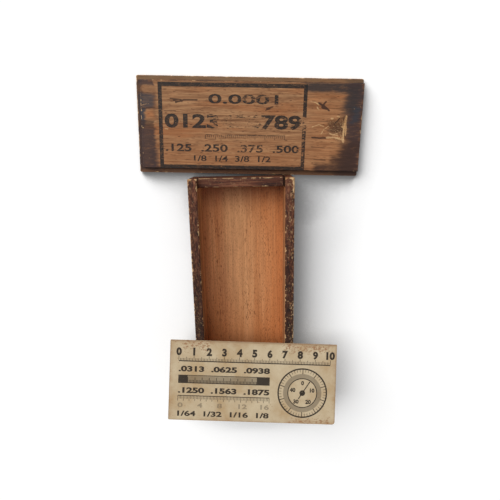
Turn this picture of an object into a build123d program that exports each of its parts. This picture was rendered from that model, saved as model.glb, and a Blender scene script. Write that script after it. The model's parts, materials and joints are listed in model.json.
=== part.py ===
"""A wooden case for a small outside micrometer, laid out open.

The box lies on its back with the opening upwards. Its sliding lid has been drawn out and lies
crosswise beyond the head end, and the folded leaflet kept in the box lies over the foot end.
Lengths are in millimetres and angles in degrees. The origin is the centre of the box's underside,
+X is across the box, +Y runs from the foot end to the head end, and +Z points out of the opening.
"""

from build123d import *
import os
from math import cos, degrees, atan2, hypot, radians, sin

# Driving dimensions of the box
BOX_LENGTH = 152.5          # outside, foot end to head end
BOX_WIDTH = 68.5            # outside, across both side walls
WALL_HEIGHT = 24.0          # side walls and foot wall, standing on the floor board
SIDE_WALL = 6.0             # thickness of each side wall
END_WALL = 6.0              # thickness of the head wall and of the foot wall
FLOOR_BOARD = 3.6           # thickness of the floor board
HEAD_JOINT_GAP = 0.8        # the head wall has shrunk away from the right side wall
BOX_ARRIS = 0.7             # rounding of the handled edges of the walls
FLOOR_ARRIS = 0.4           # rounding of the floor board's outer edges

# Driving dimensions of the sliding lid and the grooves that it runs in
LID_THICKNESS = 6.35        # lid board, flush with the rims when closed
TONGUE_THICKNESS = 3.0      # the tongues are the lower part of the lid board
GROOVE_DEPTH = 3.25         # into the side walls and the foot wall
LID_SLIDE_PLAY = 0.15       # above and below the tongues, and under the lid on the head wall
LID_SIDE_PLAY = 0.25        # between each tongue's edge and the bottom of its groove
LID_END_PLAY = 0.35         # between the end tongue and the bottom of the foot wall's groove
PANEL_PLAY = 0.15           # between the raised panel and the walls beside it
LID_CORNER = 1.1            # rounding of the lid's four upright corners
LID_ARRIS = 0.5             # rounding round the raised panel

# Driving dimensions of the thumb notch, a gouged hollow with one steep wall
NOTCH_FROM_END = 10.5       # lid's head end to the steep wall
NOTCH_LENGTH = 16.0         # steep wall to the point where the hollow runs out
NOTCH_WIDTH = 15.8          # along the steep wall
NOTCH_DEPTH = 2.2           # at the steep wall

# Driving dimensions of the brads
BRAD_LENGTH = 15.0
BRAD_SHANK = 1.2            # diameter
BRAD_HEAD = 2.4             # diameter
BRAD_HEAD_THICKNESS = 0.6
BRAD_POINT = 2.0            # length of the tapered point
BRAD_TIP = 0.3              # diameter where the point ends
BRAD_SUNK = 0.1             # depth of the head below the wood's surface
BRAD_PLAY = 0.02            # between a brad and its hole, all round
BRAD_FLAT_COUNT = 8         # flats that stand in for the round wire
CORNER_BRAD_COUNT = 3       # in each of the four corners
CORNER_BRAD_MARGIN = 4.0    # lowest and highest corner brad to the ends of the row
SIDE_BRAD_COUNT = 4         # through the floor board into each side wall
SIDE_BRAD_MARGIN = 16.0     # first and last of them to the box's ends
END_BRAD_SPACING = 24.0     # two through the floor board into each end wall

# Driving dimensions of the leaflet: one sheet folded once along its long side
LEAFLET_LENGTH = 116.5
LEAFLET_PLAY = 0.45         # on each side when it lies in the box
LEAF_THICKNESS = 0.4
FOLD_GAP = 0.15             # between the closed leaves
LEAF_CORNER = 0.8           # rounding of the leaves' free corners on the left
THUMBED_CORNER = 1.8        # rounding of the free corners on the right, worn by thumbs

# How the loose pieces lie
LID_TURN = 2.05             # clockwise, seen from above
LID_CLEAR = 0.3             # head end to the lid where they come closest
LID_OFFSET = 4.45           # middle of the lid's near edge, to the right of the box's middle
LEAFLET_TURN = 2.8          # clockwise, seen from above
LEAFLET_INSET = 39.0        # foot end to the middle of the fold
LEAFLET_OFFSET = 6.45       # middle of the fold, to the right of the box's middle
LEAFLET_OPENING = 13.7      # angle between the leaves, sprung a little open

# Sizes that follow
BOX_HEIGHT = FLOOR_BOARD + WALL_HEIGHT
INNER_WIDTH = BOX_WIDTH - 2 * SIDE_WALL
HEAD_Y = BOX_LENGTH / 2
FOOT_Y = -BOX_LENGTH / 2
LID_UNDERSIDE = BOX_HEIGHT - LID_THICKNESS
GROOVE_LOW = LID_UNDERSIDE - LID_SLIDE_PLAY
GROOVE_HIGH = LID_UNDERSIDE + TONGUE_THICKNESS + LID_SLIDE_PLAY
HEAD_WALL_TOP = LID_UNDERSIDE - LID_SLIDE_PLAY
LID_WIDTH = INNER_WIDTH + 2 * (GROOVE_DEPTH - LID_SIDE_PLAY)
LID_LENGTH = BOX_LENGTH - END_WALL + GROOVE_DEPTH - LID_END_PLAY
SIDE_TONGUE = GROOVE_DEPTH - LID_SIDE_PLAY + PANEL_PLAY
END_TONGUE = GROOVE_DEPTH - LID_END_PLAY + PANEL_PLAY
LEAFLET_WIDTH = INNER_WIDTH - 2 * LEAFLET_PLAY
FOLD_HEIGHT = BOX_HEIGHT + LEAF_THICKNESS + FOLD_GAP

STANDING = (Align.CENTER, Align.CENTER, Align.MIN)
CUT_EXCESS = 1.0            # how far a cutting tool runs past the wood


def board(low, high):
    """A rectangular board from its lowest corner to its highest corner."""
    size = [top - bottom for bottom, top in zip(low, high)]
    return Pos(*low) * Box(*size, align=Align.MIN)


def row_of(count, first, last):
    """Evenly spaced positions from first to last."""
    if count == 1:
        return [(first + last) / 2]
    return [first + (last - first) * step / (count - 1) for step in range(count)]


def brad(play=0.0, above=0.0):
    """A brad pointing down, its head's top at z = 0; play and above grow it into its own hole."""
    def section(diameter, height):
        return Pos(0, 0, height) * RegularPolygon(diameter / 2 + play, BRAD_FLAT_COUNT)

    shoulder = -BRAD_HEAD_THICKNESS - play
    taper = BRAD_POINT - BRAD_LENGTH
    head = extrude(section(BRAD_HEAD, shoulder), above - shoulder)
    shank = extrude(section(BRAD_SHANK, taper), shoulder - taper)
    point = loft([section(BRAD_SHANK, taper), section(BRAD_TIP, -BRAD_LENGTH - play)], ruled=True)
    return head + shank + point


def corner_brad_places(wall_y, side):
    """Places of the brads driven through one side wall into the end wall centred on wall_y."""
    head_x = side * (BOX_WIDTH / 2 - BRAD_SUNK)
    heights = row_of(CORNER_BRAD_COUNT, FLOOR_BOARD + CORNER_BRAD_MARGIN, HEAD_WALL_TOP - CORNER_BRAD_MARGIN)
    return [Pos(head_x, wall_y, height) * Rot(0, side * 90, 0) for height in heights]


def floor_brad_places():
    """Places of the brads driven upwards through the floor board into all four walls."""
    side_x = BOX_WIDTH / 2 - SIDE_WALL / 2
    along = row_of(SIDE_BRAD_COUNT, FOOT_Y + SIDE_BRAD_MARGIN, HEAD_Y - SIDE_BRAD_MARGIN)
    spots = [(side * side_x, y) for side in (-1, 1) for y in along]
    ends = (FOOT_Y + END_WALL / 2, HEAD_Y - END_WALL / 2)
    spots += [(side * END_BRAD_SPACING / 2, y) for side in (-1, 1) for y in ends]
    return [Pos(x, y, BRAD_SUNK) * Rot(180, 0, 0) for x, y in spots]


HEAD_BRAD_PLACES = [place for side in (-1, 1) for place in corner_brad_places(HEAD_Y - END_WALL / 2, side)]
FOOT_BRAD_PLACES = [place for side in (-1, 1) for place in corner_brad_places(FOOT_Y + END_WALL / 2, side)]
FLOOR_BRAD_PLACES = floor_brad_places()


def bored(wood, places):
    """The wood with a hole for each brad that is driven into it."""
    hole = brad(BRAD_PLAY, above=CUT_EXCESS)
    for place in places:
        wood -= place * hole
    return wood


def brads(places):
    """The brads at these places, as one group of separate solids."""
    return Compound(children=[place * brad() for place in places])


def side_wall(side):
    """A side wall running the full length, grooved for the lid; side is -1 left or 1 right."""
    low_x, high_x = sorted((side * INNER_WIDTH / 2, side * BOX_WIDTH / 2))
    wood = board((low_x, FOOT_Y, FLOOR_BOARD), (high_x, HEAD_Y, BOX_HEIGHT))
    handled = wood.faces().sort_by(Axis.Z)[-1].edges()
    upright = wood.edges().filter_by(Axis.Z).sort_by(Axis.X)
    handled += upright[-2:] if side > 0 else upright[:2]
    wood = fillet(handled, BOX_ARRIS)
    groove_x = sorted((side * (INNER_WIDTH / 2 - CUT_EXCESS), side * (INNER_WIDTH / 2 + GROOVE_DEPTH)))
    groove = board((groove_x[0], FOOT_Y - CUT_EXCESS, GROOVE_LOW), (groove_x[1], HEAD_Y + CUT_EXCESS, GROOVE_HIGH))
    return bored(wood - groove, HEAD_BRAD_PLACES + FOOT_BRAD_PLACES + FLOOR_BRAD_PLACES)


def foot_wall():
    """The closed end, as high as the side walls and grooved for the lid's end tongue."""
    inner_y = FOOT_Y + END_WALL
    half = INNER_WIDTH / 2
    wood = board((-half, FOOT_Y, FLOOR_BOARD), (half, inner_y, BOX_HEIGHT))
    wood = fillet(wood.faces().sort_by(Axis.Z)[-1].edges().filter_by(Axis.X), BOX_ARRIS)
    groove = board((-half - CUT_EXCESS, inner_y - GROOVE_DEPTH, GROOVE_LOW),
                   (half + CUT_EXCESS, inner_y + CUT_EXCESS, GROOVE_HIGH))
    return bored(wood - groove, FOOT_BRAD_PLACES + FLOOR_BRAD_PLACES)


def head_wall():
    """The low end wall that the lid slides over, with an open joint at its right end."""
    half = INNER_WIDTH / 2
    wood = board((-half, HEAD_Y - END_WALL, FLOOR_BOARD), (half - HEAD_JOINT_GAP, HEAD_Y, HEAD_WALL_TOP))
    wood = fillet(wood.faces().sort_by(Axis.Z)[-1].edges().filter_by(Axis.X), BOX_ARRIS)
    return bored(wood, HEAD_BRAD_PLACES + FLOOR_BRAD_PLACES)


def floor_board():
    """The thin board under all four walls, flush with their outer faces."""
    wood = Box(BOX_WIDTH, BOX_LENGTH, FLOOR_BOARD, align=STANDING)
    outer = wood.edges().filter_by(Axis.Z) + wood.faces().sort_by(Axis.Z)[0].edges()
    return bored(fillet(outer, FLOOR_ARRIS), FLOOR_BRAD_PLACES)


def thumb_notch():
    """The gouge's path: a leaning cylinder that stops at the steep wall."""
    gouge = (hypot(NOTCH_WIDTH / 2, NOTCH_DEPTH) ** 2) / (2 * NOTCH_DEPTH)
    slope = degrees(atan2(NOTCH_DEPTH, NOTCH_LENGTH))
    wall_x = LID_LENGTH / 2 - NOTCH_FROM_END
    reach = NOTCH_LENGTH + gouge
    sweep = Cylinder(gouge, 2 * reach, rotation=(0, 90 + slope, 0))
    centre = Pos(wall_x, 0, LID_THICKNESS - NOTCH_DEPTH + gouge / cos(radians(slope)))
    kept = board((wall_x - reach, -gouge, 0), (wall_x, gouge, LID_THICKNESS + CUT_EXCESS))
    return (centre * sweep) & kept


def flat_lid():
    """The lid face up on z = 0, its length along X and its head end at +X."""
    wood = Box(LID_LENGTH, LID_WIDTH, LID_THICKNESS, align=STANDING)
    wood = fillet(wood.edges().filter_by(Axis.Z), LID_CORNER)
    panel_low = -LID_LENGTH / 2 + END_TONGUE
    panel_half = LID_WIDTH / 2 - SIDE_TONGUE
    above = LID_THICKNESS + CUT_EXCESS
    outside_x = LID_LENGTH / 2 + CUT_EXCESS
    outside_y = LID_WIDTH / 2 + CUT_EXCESS
    for low, high in (((-outside_x, panel_half), (outside_x, outside_y)),
                      ((-outside_x, -outside_y), (outside_x, -panel_half)),
                      ((-outside_x, -outside_y), (panel_low, outside_y))):
        wood -= board((*low, TONGUE_THICKNESS), (*high, above))
    wood = fillet(wood.faces().sort_by(Axis.Z)[-1].edges(), LID_ARRIS)
    return wood - thumb_notch()


def lid():
    """The lid where it lies, turned a little and clear of the head end's right corner."""
    turn = radians(LID_TURN)
    along = (LID_OFFSET - BOX_WIDTH / 2) / cos(turn)
    near_x = BOX_WIDTH / 2 + along * cos(turn)
    near_y = HEAD_Y + LID_CLEAR - along * sin(turn)
    centre_x = near_x + LID_WIDTH / 2 * sin(turn)
    centre_y = near_y + LID_WIDTH / 2 * cos(turn)
    return Pos(centre_x, centre_y, 0) * Rot(0, 0, -LID_TURN) * flat_lid()


def leaf(opening):
    """One leaf of the leaflet, swung about the fold by the opening angle."""
    paper = Box(LEAFLET_LENGTH, LEAFLET_WIDTH, LEAF_THICKNESS, align=(Align.CENTER, Align.MAX, Align.MIN))
    left_corner = paper.edges().filter_by(Axis.Z).group_by(Axis.X)[0].sort_by(Axis.Y)[0]
    paper = fillet(left_corner, LEAF_CORNER)
    right_corner = paper.edges().filter_by(Axis.Z).group_by(Axis.X)[-1].sort_by(Axis.Y)[0]
    paper = fillet(right_corner, THUMBED_CORNER)
    fold = Pos(LEAFLET_OFFSET, FOOT_Y + LEAFLET_INSET, FOLD_HEIGHT)
    return fold * Rot(0, 0, -LEAFLET_TURN) * Rot(-opening, 0, 0) * paper


def leaflet_back_leaf():
    """The leaf that lies flat on the rims over the foot end."""
    return Pos(0, 0, BOX_HEIGHT - FOLD_HEIGHT) * leaf(0)


def leaflet_front_leaf():
    """The leaf with the printed face, standing slightly open."""
    return leaf(LEAFLET_OPENING)


NODES = {
    "side_wall_left": side_wall(-1),
    "side_wall_right": side_wall(1),
    "foot_wall": foot_wall(),
    "head_wall": head_wall(),
    "floor_board": floor_board(),
    "head_corner_brads": brads(HEAD_BRAD_PLACES),
    "foot_corner_brads": brads(FOOT_BRAD_PLACES),
    "floor_brads": brads(FLOOR_BRAD_PLACES),
    "lid": lid(),
    "leaflet_back_leaf": leaflet_back_leaf(),
    "leaflet_front_leaf": leaflet_front_leaf(),
}

os.makedirs("parts", exist_ok=True)
for node, shape in NODES.items():
    export_step(shape, f"parts/{node}.step")
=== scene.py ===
"""The looks of a small wooden instrument case laid out open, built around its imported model.

The box lies on its back with the opening upwards. Its sliding lid lies face up and crosswise beyond
the head end, and the folded leaflet lies over the foot end. Every length is written in millimetres
and turned into Blender's metres where a mesh is made. X runs across the box, Y from the foot end to
the head end, and Z out of the opening.
"""

import json
import logging
import math
from dataclasses import dataclass, field
from enum import Enum
from functools import reduce
from typing import Callable, Iterable, Sequence, Union

import bmesh
import bpy
from mathutils import Matrix, Vector, noise


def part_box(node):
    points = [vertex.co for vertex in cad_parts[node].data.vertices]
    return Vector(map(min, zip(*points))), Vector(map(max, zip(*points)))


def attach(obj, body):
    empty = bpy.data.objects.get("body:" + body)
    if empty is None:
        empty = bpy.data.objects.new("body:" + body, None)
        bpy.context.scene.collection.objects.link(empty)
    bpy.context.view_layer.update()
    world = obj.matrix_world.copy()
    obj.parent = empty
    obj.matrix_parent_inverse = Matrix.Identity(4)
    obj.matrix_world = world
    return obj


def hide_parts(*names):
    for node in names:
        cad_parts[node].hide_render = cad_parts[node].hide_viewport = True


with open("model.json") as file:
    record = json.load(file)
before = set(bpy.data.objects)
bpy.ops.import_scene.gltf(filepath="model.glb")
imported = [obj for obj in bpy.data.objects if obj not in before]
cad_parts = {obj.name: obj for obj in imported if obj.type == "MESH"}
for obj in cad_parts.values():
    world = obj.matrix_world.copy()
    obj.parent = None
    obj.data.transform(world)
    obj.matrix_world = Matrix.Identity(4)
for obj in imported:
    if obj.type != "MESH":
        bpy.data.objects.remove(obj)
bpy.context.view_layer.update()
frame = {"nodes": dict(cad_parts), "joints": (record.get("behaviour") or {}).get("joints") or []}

log = logging.getLogger("instrument_case")

MM = 0.001
NEAR = 0.01  # closer than this, two places count as one
WEAR_REACH = 3.2  # how far from an arris its wear is felt

Colour = tuple[float, float, float, float]
Point = tuple[float, float, float]
Spot = tuple[float, float]
Socket = bpy.types.NodeSocket
Value = Union[Socket, float, Colour, Point]
EdgeTest = Callable[[Vector, Vector], bool]


class Axis(Enum):
    """A direction of the row frame."""

    X = 0
    Y = 1
    Z = 2


class Ink(Enum):
    """What is printed or stencilled on a surface."""

    NONE = "none"
    STENCIL = "stencil"
    PRINT = "print"
    TINT = "tint"


class Board(Enum):
    """Which board of the box is finished, as the boards age differently."""

    WALL = "wall"
    FLOOR = "floor"


class Mark(Enum):
    """What a stroke does to the wood: the layer that it is written in."""

    SCRATCH = "bare"
    CRACK = "dark"


@dataclass(frozen=True)
class Arris:
    """A handled edge of a board, which wears. Lengths are in millimetres."""

    start: Point
    end: Point
    inward: Point  # into the wood, between the two faces that meet here
    chips: float  # depth of the deepest nicks
    rub: float  # how far the finish is rubbed off beside the edge
    seed: float  # picks the pattern of nicks


@dataclass(frozen=True)
class Stroke:
    """A scratch or a crack, drawn as a line of points on a face, in millimetres."""

    points: tuple[Spot, ...]
    width: float
    strength: float
    mark: Mark


def rgb(*levels: float) -> Colour:
    """Turns a display colour, with channels up to 255, into the linear one that a shader takes."""
    shares = [level / 255 for level in levels]
    return (*(part / 12.92 if part <= 0.04045 else ((part + 0.055) / 1.055) ** 2.4 for part in shares), 1.0)


def clamp(value: float, low: float = 0.0, high: float = 1.0) -> float:
    """The value, held between low and high."""
    return max(low, min(high, value))


def ease(value: float, low: float, high: float) -> float:
    """A smooth step from 0 at low to 1 at high."""
    share = clamp((value - low) / (high - low))
    return share * share * (3 - 2 * share)


def random_at(*place: float) -> float:
    """Smooth noise about 0 at a place."""
    return noise.noise(Vector(place))


def nick_depth(along: float, seed: float) -> float:
    """How deep the nicks are along an arris, from 0 to 1 for the deepest."""
    rough = ((0.45, 0.045, 3.1), (0.75, 0.31, 7.7), (0.6, 1.1, 5.3))
    return clamp(sum(share * random_at(along * pace, seed, row) for share, pace, row in rough) - 0.16)


def span(places: Iterable[Vector], axis: int) -> Spot:
    """The lowest and the highest number of some places along an axis."""
    parts = [place[axis] for place in places]
    return min(parts), max(parts)


def off_line(place: Vector, start: Vector, run: Vector) -> Spot:
    """Share of a run from its start where it passes a place nearest, and how far off the place lies."""
    share = clamp((place - start).dot(run) / run.length_squared)
    return share, (place - start - run * share).length


def made_points(made: dict[str, list]) -> list[bmesh.types.BMVert]:
    """The points among what an operator made."""
    return [item for item in made["geom"] if isinstance(item, bmesh.types.BMVert)]


def rim_of(made: dict[str, list]) -> list[bmesh.types.BMEdge]:
    """The edges of a circle that an operator made."""
    return list({edge for vert in made["verts"] for edge in vert.link_edges})


# ---- Working a piece of material ----


class Stock:
    """A piece of material on the bench: a bmesh in millimetres with the operators that shape it."""

    def __init__(self) -> None:
        """Starts with nothing."""
        self.mesh = bmesh.new()

    @classmethod
    def prism(cls, outline: Sequence[Spot], along: Axis, low: float, high: float) -> "Stock":
        """A board sawn to an outline.

        Args:
            outline: Corners of the cross-section, in order, in the two axes other than along.
            along: The board's length.
            low: Where it starts.
            high: Where it ends.

        Returns:
            The closed board.
        """
        stock = cls()
        corners = []
        for corner in outline:
            place = list(corner)
            place.insert(along.value, low)
            corners.append(stock.mesh.verts.new(place))
        section = stock.mesh.faces.new(corners)
        grown = bmesh.ops.extrude_face_region(stock.mesh, geom=[section], use_keep_orig=True)
        step = [high - low if axis is along else 0.0 for axis in Axis]
        bmesh.ops.translate(stock.mesh, verts=made_points(grown), vec=step)
        stock.face_outwards()
        return stock

    def face_outwards(self) -> None:
        """Turns every face to point out of the material."""
        bmesh.ops.recalc_face_normals(self.mesh, faces=self.mesh.faces)

    def round_edges(self, chosen: EdgeTest, radius: float, segments: int = 2) -> None:
        """Rounds the edges whose two ends pass a test, with a number of faces across the rounding."""
        edges = [edge for edge in self.mesh.edges if chosen(edge.verts[0].co, edge.verts[1].co)]
        bmesh.ops.bevel(self.mesh, geom=edges, offset=radius, offset_type="OFFSET", segments=segments,
                        profile=0.5, affect="EDGES", material=-1, clamp_overlap=True)

    def divide(self, axis: Axis, spacing: float) -> None:
        """Divides the edges that run along an axis, so that the faces between them get more rows.

        Args:
            axis: Direction of the edges.
            spacing: Greatest distance between rows.
        """
        groups: dict[int, list[bmesh.types.BMEdge]] = {}
        for edge in self.mesh.edges:
            reach = edge.verts[1].co - edge.verts[0].co
            length = reach.length
            if length > spacing and abs(reach[axis.value]) > 0.999 * length:
                groups.setdefault(math.ceil(length / spacing - NEAR) - 1, []).append(edge)
        for cuts, edges in groups.items():
            bmesh.ops.subdivide_edges(self.mesh, edges=edges, cuts=cuts, use_grid_fill=False)

    def cut(self, axis: Axis, *places: float) -> None:
        """Scores the whole piece across an axis, so that it has an edge at each place.

        Args:
            axis: Direction across the cuts.
            *places: Where the cuts are.
        """
        normal = Vector([float(one is axis) for one in Axis])
        for place in places:
            everything = self.mesh.verts[:] + self.mesh.edges[:] + self.mesh.faces[:]
            bmesh.ops.bisect_plane(self.mesh, geom=everything, dist=1e-5, plane_co=normal * place,
                                   plane_no=normal)

    def attribute(self, name: str) -> bmesh.types.BMLayerItem:
        """The piece's layer of one number per point, made where it is missing."""
        layers = self.mesh.verts.layers.float
        return layers.get(name) or layers.new(name)

    def write(self, name: str, value: Callable[[Vector], float]) -> None:
        """Writes a number into a layer for every point.

        Args:
            name: The layer.
            value: Gives the number from the point's place.
        """
        layer = self.attribute(name)
        for vert in self.mesh.verts:
            vert[layer] = value(vert.co)

    def weather(self, arrises: Sequence[Arris]) -> None:
        """Nicks the arrises, and writes down where the finish has gone in the layer bare.

        Args:
            arrises: The edges that have been handled.
        """
        bare = self.attribute("bare")
        edges = [(Vector(a.start), Vector(a.end) - Vector(a.start), Vector(a.inward).normalized(), a)
                 for a in arrises]
        for vert in self.mesh.verts:
            place = vert.co.copy()
            for start, run, inward, arris in edges:
                share, distance = off_line(place, start, run)
                if distance > WEAR_REACH:
                    continue
                along = share * run.length
                depth = arris.chips * nick_depth(along, arris.seed)
                vert.co += inward * max(0.0, depth - 0.5 * distance)
                rubbed = arris.rub * (0.55 + 0.9 * random_at(along * 0.4, arris.seed, 1.3))
                reach = max(0.05, rubbed + 1.7 * depth)
                gone = ease(reach, 0.08, 0.36) * (1 - ease(distance, 0.35 * reach, 1.35 * reach))
                vert[bare] = max(vert[bare], gone)

    def score(self, strokes: Sequence[Stroke], above: float) -> None:
        """Draws scratches and cracks on the points that lie above a height.

        Args:
            strokes: The strokes.
            above: Lowest height of a point that takes them.
        """
        layers = {mark: self.attribute(mark.value) for mark in Mark}
        face = [vert for vert in self.mesh.verts if vert.co.z > above]
        for stroke in strokes:
            spots = [Vector((*point, 0)) for point in stroke.points]
            reach = 0.5 * stroke.width + 0.5
            (left, right), (near, far) = span(spots, 0), span(spots, 1)
            layer = layers[stroke.mark]
            for vert in face:
                flat = Vector((vert.co.x, vert.co.y, 0))
                if not (left - reach < flat.x < right + reach and near - reach < flat.y < far + reach):
                    continue
                for start, end in zip(spots, spots[1:]):
                    distance = off_line(flat, start, end - start)[1]
                    drawn = stroke.strength * (1 - ease(distance, 0.3 * stroke.width, reach))
                    vert[layer] = max(vert[layer], drawn)

    def dent(self, centres: Iterable[Point], normal: Point, radius: float, depth: float) -> None:
        """Presses round dimples into the surface, as where a brad was driven home.

        Args:
            centres: Middle of each dimple.
            normal: Direction out of the surface.
            radius: Radius of the flat bottom.
            depth: Depth of the dimples.
        """
        out = Vector(normal)
        for centre in map(Vector, centres):
            for vert in self.mesh.verts:
                away = vert.co - centre
                if abs(away.dot(out)) < 0.3 and away.length < 2 * radius:
                    vert.co -= out * depth * (1 - ease(away.length, radius, 1.5 * radius))

    def place(self, matrix: Matrix) -> None:
        """Moves the whole piece by a matrix whose lengths are in millimetres."""
        bmesh.ops.transform(self.mesh, matrix=matrix, verts=self.mesh.verts)

    def finish(self, name: str, material: bpy.types.Material, crease: float = 35.0) -> bpy.types.Object:
        """Turns the worked piece into a Blender object at the origin.

        Args:
            name: The object's name.
            material: Its finish.
            crease: Angle in degrees above which an edge stays sharp.

        Returns:
            The object, in metres and linked to the scene.
        """
        log.info("%s: %d faces, widest has %d sides", name, len(self.mesh.faces),
                 max(len(face.verts) for face in self.mesh.faces))
        bmesh.ops.scale(self.mesh, vec=(MM, MM, MM), verts=self.mesh.verts)
        for face in self.mesh.faces:
            face.smooth = True
        data = bpy.data.meshes.new(name)
        self.mesh.to_mesh(data)
        self.mesh.free()
        data.set_sharp_from_angle(angle=math.radians(crease))
        data.materials.append(material)
        return linked(bpy.data.objects.new(name, data))


def linked(item: bpy.types.Object) -> bpy.types.Object:
    """The object, put into the scene."""
    bpy.context.scene.collection.objects.link(item)
    return item


def seat(piece: bpy.types.Object, body: str, slot: str, *nodes: str) -> None:
    """Puts a finished piece on its body, and hides the nodes that it stands for.

    Args:
        piece: The finished piece.
        body: The CAD body that it rides on.
        slot: The record's material slot; not used.
        *nodes: The CAD nodes that it replaces.
    """
    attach(piece, body)
    if nodes:
        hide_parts(*nodes)
    log.info("%s rides on %s with %d faces", piece.name, body, len(piece.data.polygons))


# ---- Mixing finishes ----


class Recipe:
    """The nodes of a material or a world, written as expressions whose lengths are in millimetres.

    A pattern's scale is its features per millimetre along each axis, the last one standing for the rest.
    """

    def __init__(self, owner: Union[bpy.types.Material, bpy.types.World]) -> None:
        """Starts without nodes.

        Args:
            owner: What the nodes belong to.
        """
        self.owner = owner
        owner.use_nodes = True
        self.tree = owner.node_tree
        self.tree.nodes.clear()

    def node(self, kind: str, inputs: dict[Union[int, str], Value], **settings: object) -> bpy.types.Node:
        """Adds a node.

        Args:
            kind: The node's type, without the leading ShaderNode.
            inputs: What each socket takes, by name or number.
            **settings: The node's own settings.

        Returns:
            The node.
        """
        made = self.tree.nodes.new("ShaderNode" + kind)
        for key, value in settings.items():
            setattr(made, key, value)
        for key, value in inputs.items():
            if isinstance(value, Socket):
                self.tree.links.new(value, made.inputs[key])
            else:
                made.inputs[key].default_value = value
        return made

    def new(self, kind: str, inputs: dict[Union[int, str], Value], **settings: object) -> Socket:
        """Adds a node and gives its first output."""
        return self.node(kind, inputs, **settings).outputs[0]

    def math(self, operation: str, *values: Value) -> Socket:
        """The result of a Math node."""
        return self.new("Math", dict(enumerate(values)), operation=operation)

    def add(self, *values: Value) -> Socket:
        """The sum of the values."""
        return reduce(lambda one, other: self.math("ADD", one, other), values)

    def times(self, *values: Value) -> Socket:
        """The product of the values."""
        return reduce(lambda one, other: self.math("MULTIPLY", one, other), values)

    def highest(self, *values: Value) -> Socket:
        """The greatest of the values."""
        return reduce(lambda one, other: self.math("MAXIMUM", one, other), values)

    def vector(self, operation: str, *values: Value) -> Socket:
        """The result of a Vector Math node."""
        return self.new("VectorMath", dict(enumerate(values)), operation=operation)

    def place(self, origin: Point = (0, 0, 0), turn: float = 0.0) -> Socket:
        """The point being shaded, in a frame with this origin and this turn about Z in radians."""
        inputs = {"Vector": self.node("TexCoord", {}).outputs["Object"], "Rotation": (0, 0, turn),
                  "Location": tuple(MM * part for part in origin), "Scale": (MM, MM, MM)}
        return self.new("Mapping", inputs, vector_type="TEXTURE")

    def stretch(self, spot: Value, scale: Sequence[float], shift: Point = (0, 0, 0)) -> Socket:
        """A point scaled, and then shifted, along each axis."""
        scale = (*scale, scale[-1], scale[-1])[:3]
        return self.new("Mapping", {"Vector": spot, "Scale": scale, "Location": shift})

    def split(self, spot: Value) -> tuple[Socket, ...]:
        """The three numbers of a point."""
        return tuple(self.node("SeparateXYZ", {0: spot}).outputs)

    def join(self, *parts: Value) -> Socket:
        """A point from three numbers."""
        return self.new("CombineXYZ", dict(enumerate(parts)))

    def clouds(self, spot: Value, scale: Sequence[float], shift: Point = (0, 0, 0), detail: float = 3.0,
               rough: float = 0.55) -> Socket:
        """Soft noise about 0.5, with detail octaves of finer noise whose strength is rough."""
        inputs = {"Vector": self.stretch(spot, scale, shift), "Scale": 1.0, "Detail": detail,
                  "Roughness": rough}
        return self.new("TexNoise", inputs)

    def sway(self, spot: Value, scale: Sequence[float], shift: Point = (0, 0, 0), detail: float = 3.0,
             rough: float = 0.55) -> Socket:
        """The same soft noise about 0."""
        return self.add(self.clouds(spot, scale, shift, detail, rough), -0.5)

    def between(self, value: Value, low: float, high: float) -> Socket:
        """A smooth step from 0 at low to 1 at high; low may be above high."""
        inputs = {"Value": value, "From Min": low, "From Max": high}
        return self.new("MapRange", inputs, interpolation_type="SMOOTHSTEP")

    def area(self, spot: Value, scale: Sequence[float], low: float, high: float, shift: Point = (0, 0, 0),
             detail: float = 3.0, rough: float = 0.55) -> Socket:
        """Wandering areas: a smooth step from low to high of soft noise."""
        return self.between(self.clouds(spot, scale, shift, detail, rough), low, high)

    def dots(self, spot: Value, scale: Sequence[float], low: float, high: float,
             shift: Point = (0, 0, 0)) -> Socket:
        """Scattered dots: a smooth step from low to high of the distance to the nearest middle."""
        inputs = {"Vector": self.stretch(spot, scale, shift), "Scale": 1.0, "Randomness": 1.0}
        return self.between(self.node("TexVoronoi", inputs).outputs["Distance"], low, high)

    def hairlines(self, spot: Value, scale: Sequence[float], thin: float, shift: Point) -> Socket:
        """Thin lines that wander where soft noise is within thin of its middle value."""
        height = self.math("ABSOLUTE", self.sway(spot, scale, shift, detail=2))
        return self.between(height, thin, thin * 0.3)

    def remap(self, value: Value, low: float, high: float, first: float, last: float) -> Socket:
        """A straight change of range, held at both ends."""
        inputs = {"Value": value, "From Min": low, "From Max": high, "To Min": first, "To Max": last}
        return self.new("MapRange", inputs)

    def ramp(self, value: Value, *stops: tuple[float, Colour]) -> Socket:
        """A colour picked along a ramp.

        Args:
            value: Place along the ramp, from 0 to 1.
            *stops: Places and their colours, in order.

        Returns:
            The colour.
        """
        made = self.node("ValToRGB", {0: value})
        points = made.color_ramp.elements
        while len(points) < len(stops):
            points.new(0.5)
        for point, stop in zip(points, stops):
            point.position, point.color = stop
        return made.outputs[0]

    def mix(self, share: Value, first: Value, second: Value, blend: str = "MIX") -> Socket:
        """Two colours blended by a share."""
        inputs = {0: share, 6: first, 7: second}
        return self.node("Mix", inputs, data_type="RGBA", blend_type=blend).outputs[2]

    def glaze(self, colour: Value, *coats: tuple[Value, Value]) -> Socket:
        """A colour covered by coats, each with the share that it hides and its own colour."""
        return reduce(lambda below, coat: self.mix(coat[0], below, coat[1]), coats, colour)

    def shade(self, colour: Value, factor: Value) -> Socket:
        """A colour made darker or lighter by a factor."""
        return self.mix(1.0, colour, self.join(factor, factor, factor), blend="MULTIPLY")

    def vary(self, colour: Value, value: Value, low: float, high: float, first: float, last: float) -> Socket:
        """A colour made darker or lighter by a value whose range is changed."""
        return self.shade(colour, self.remap(value, low, high, first, last))

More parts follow.
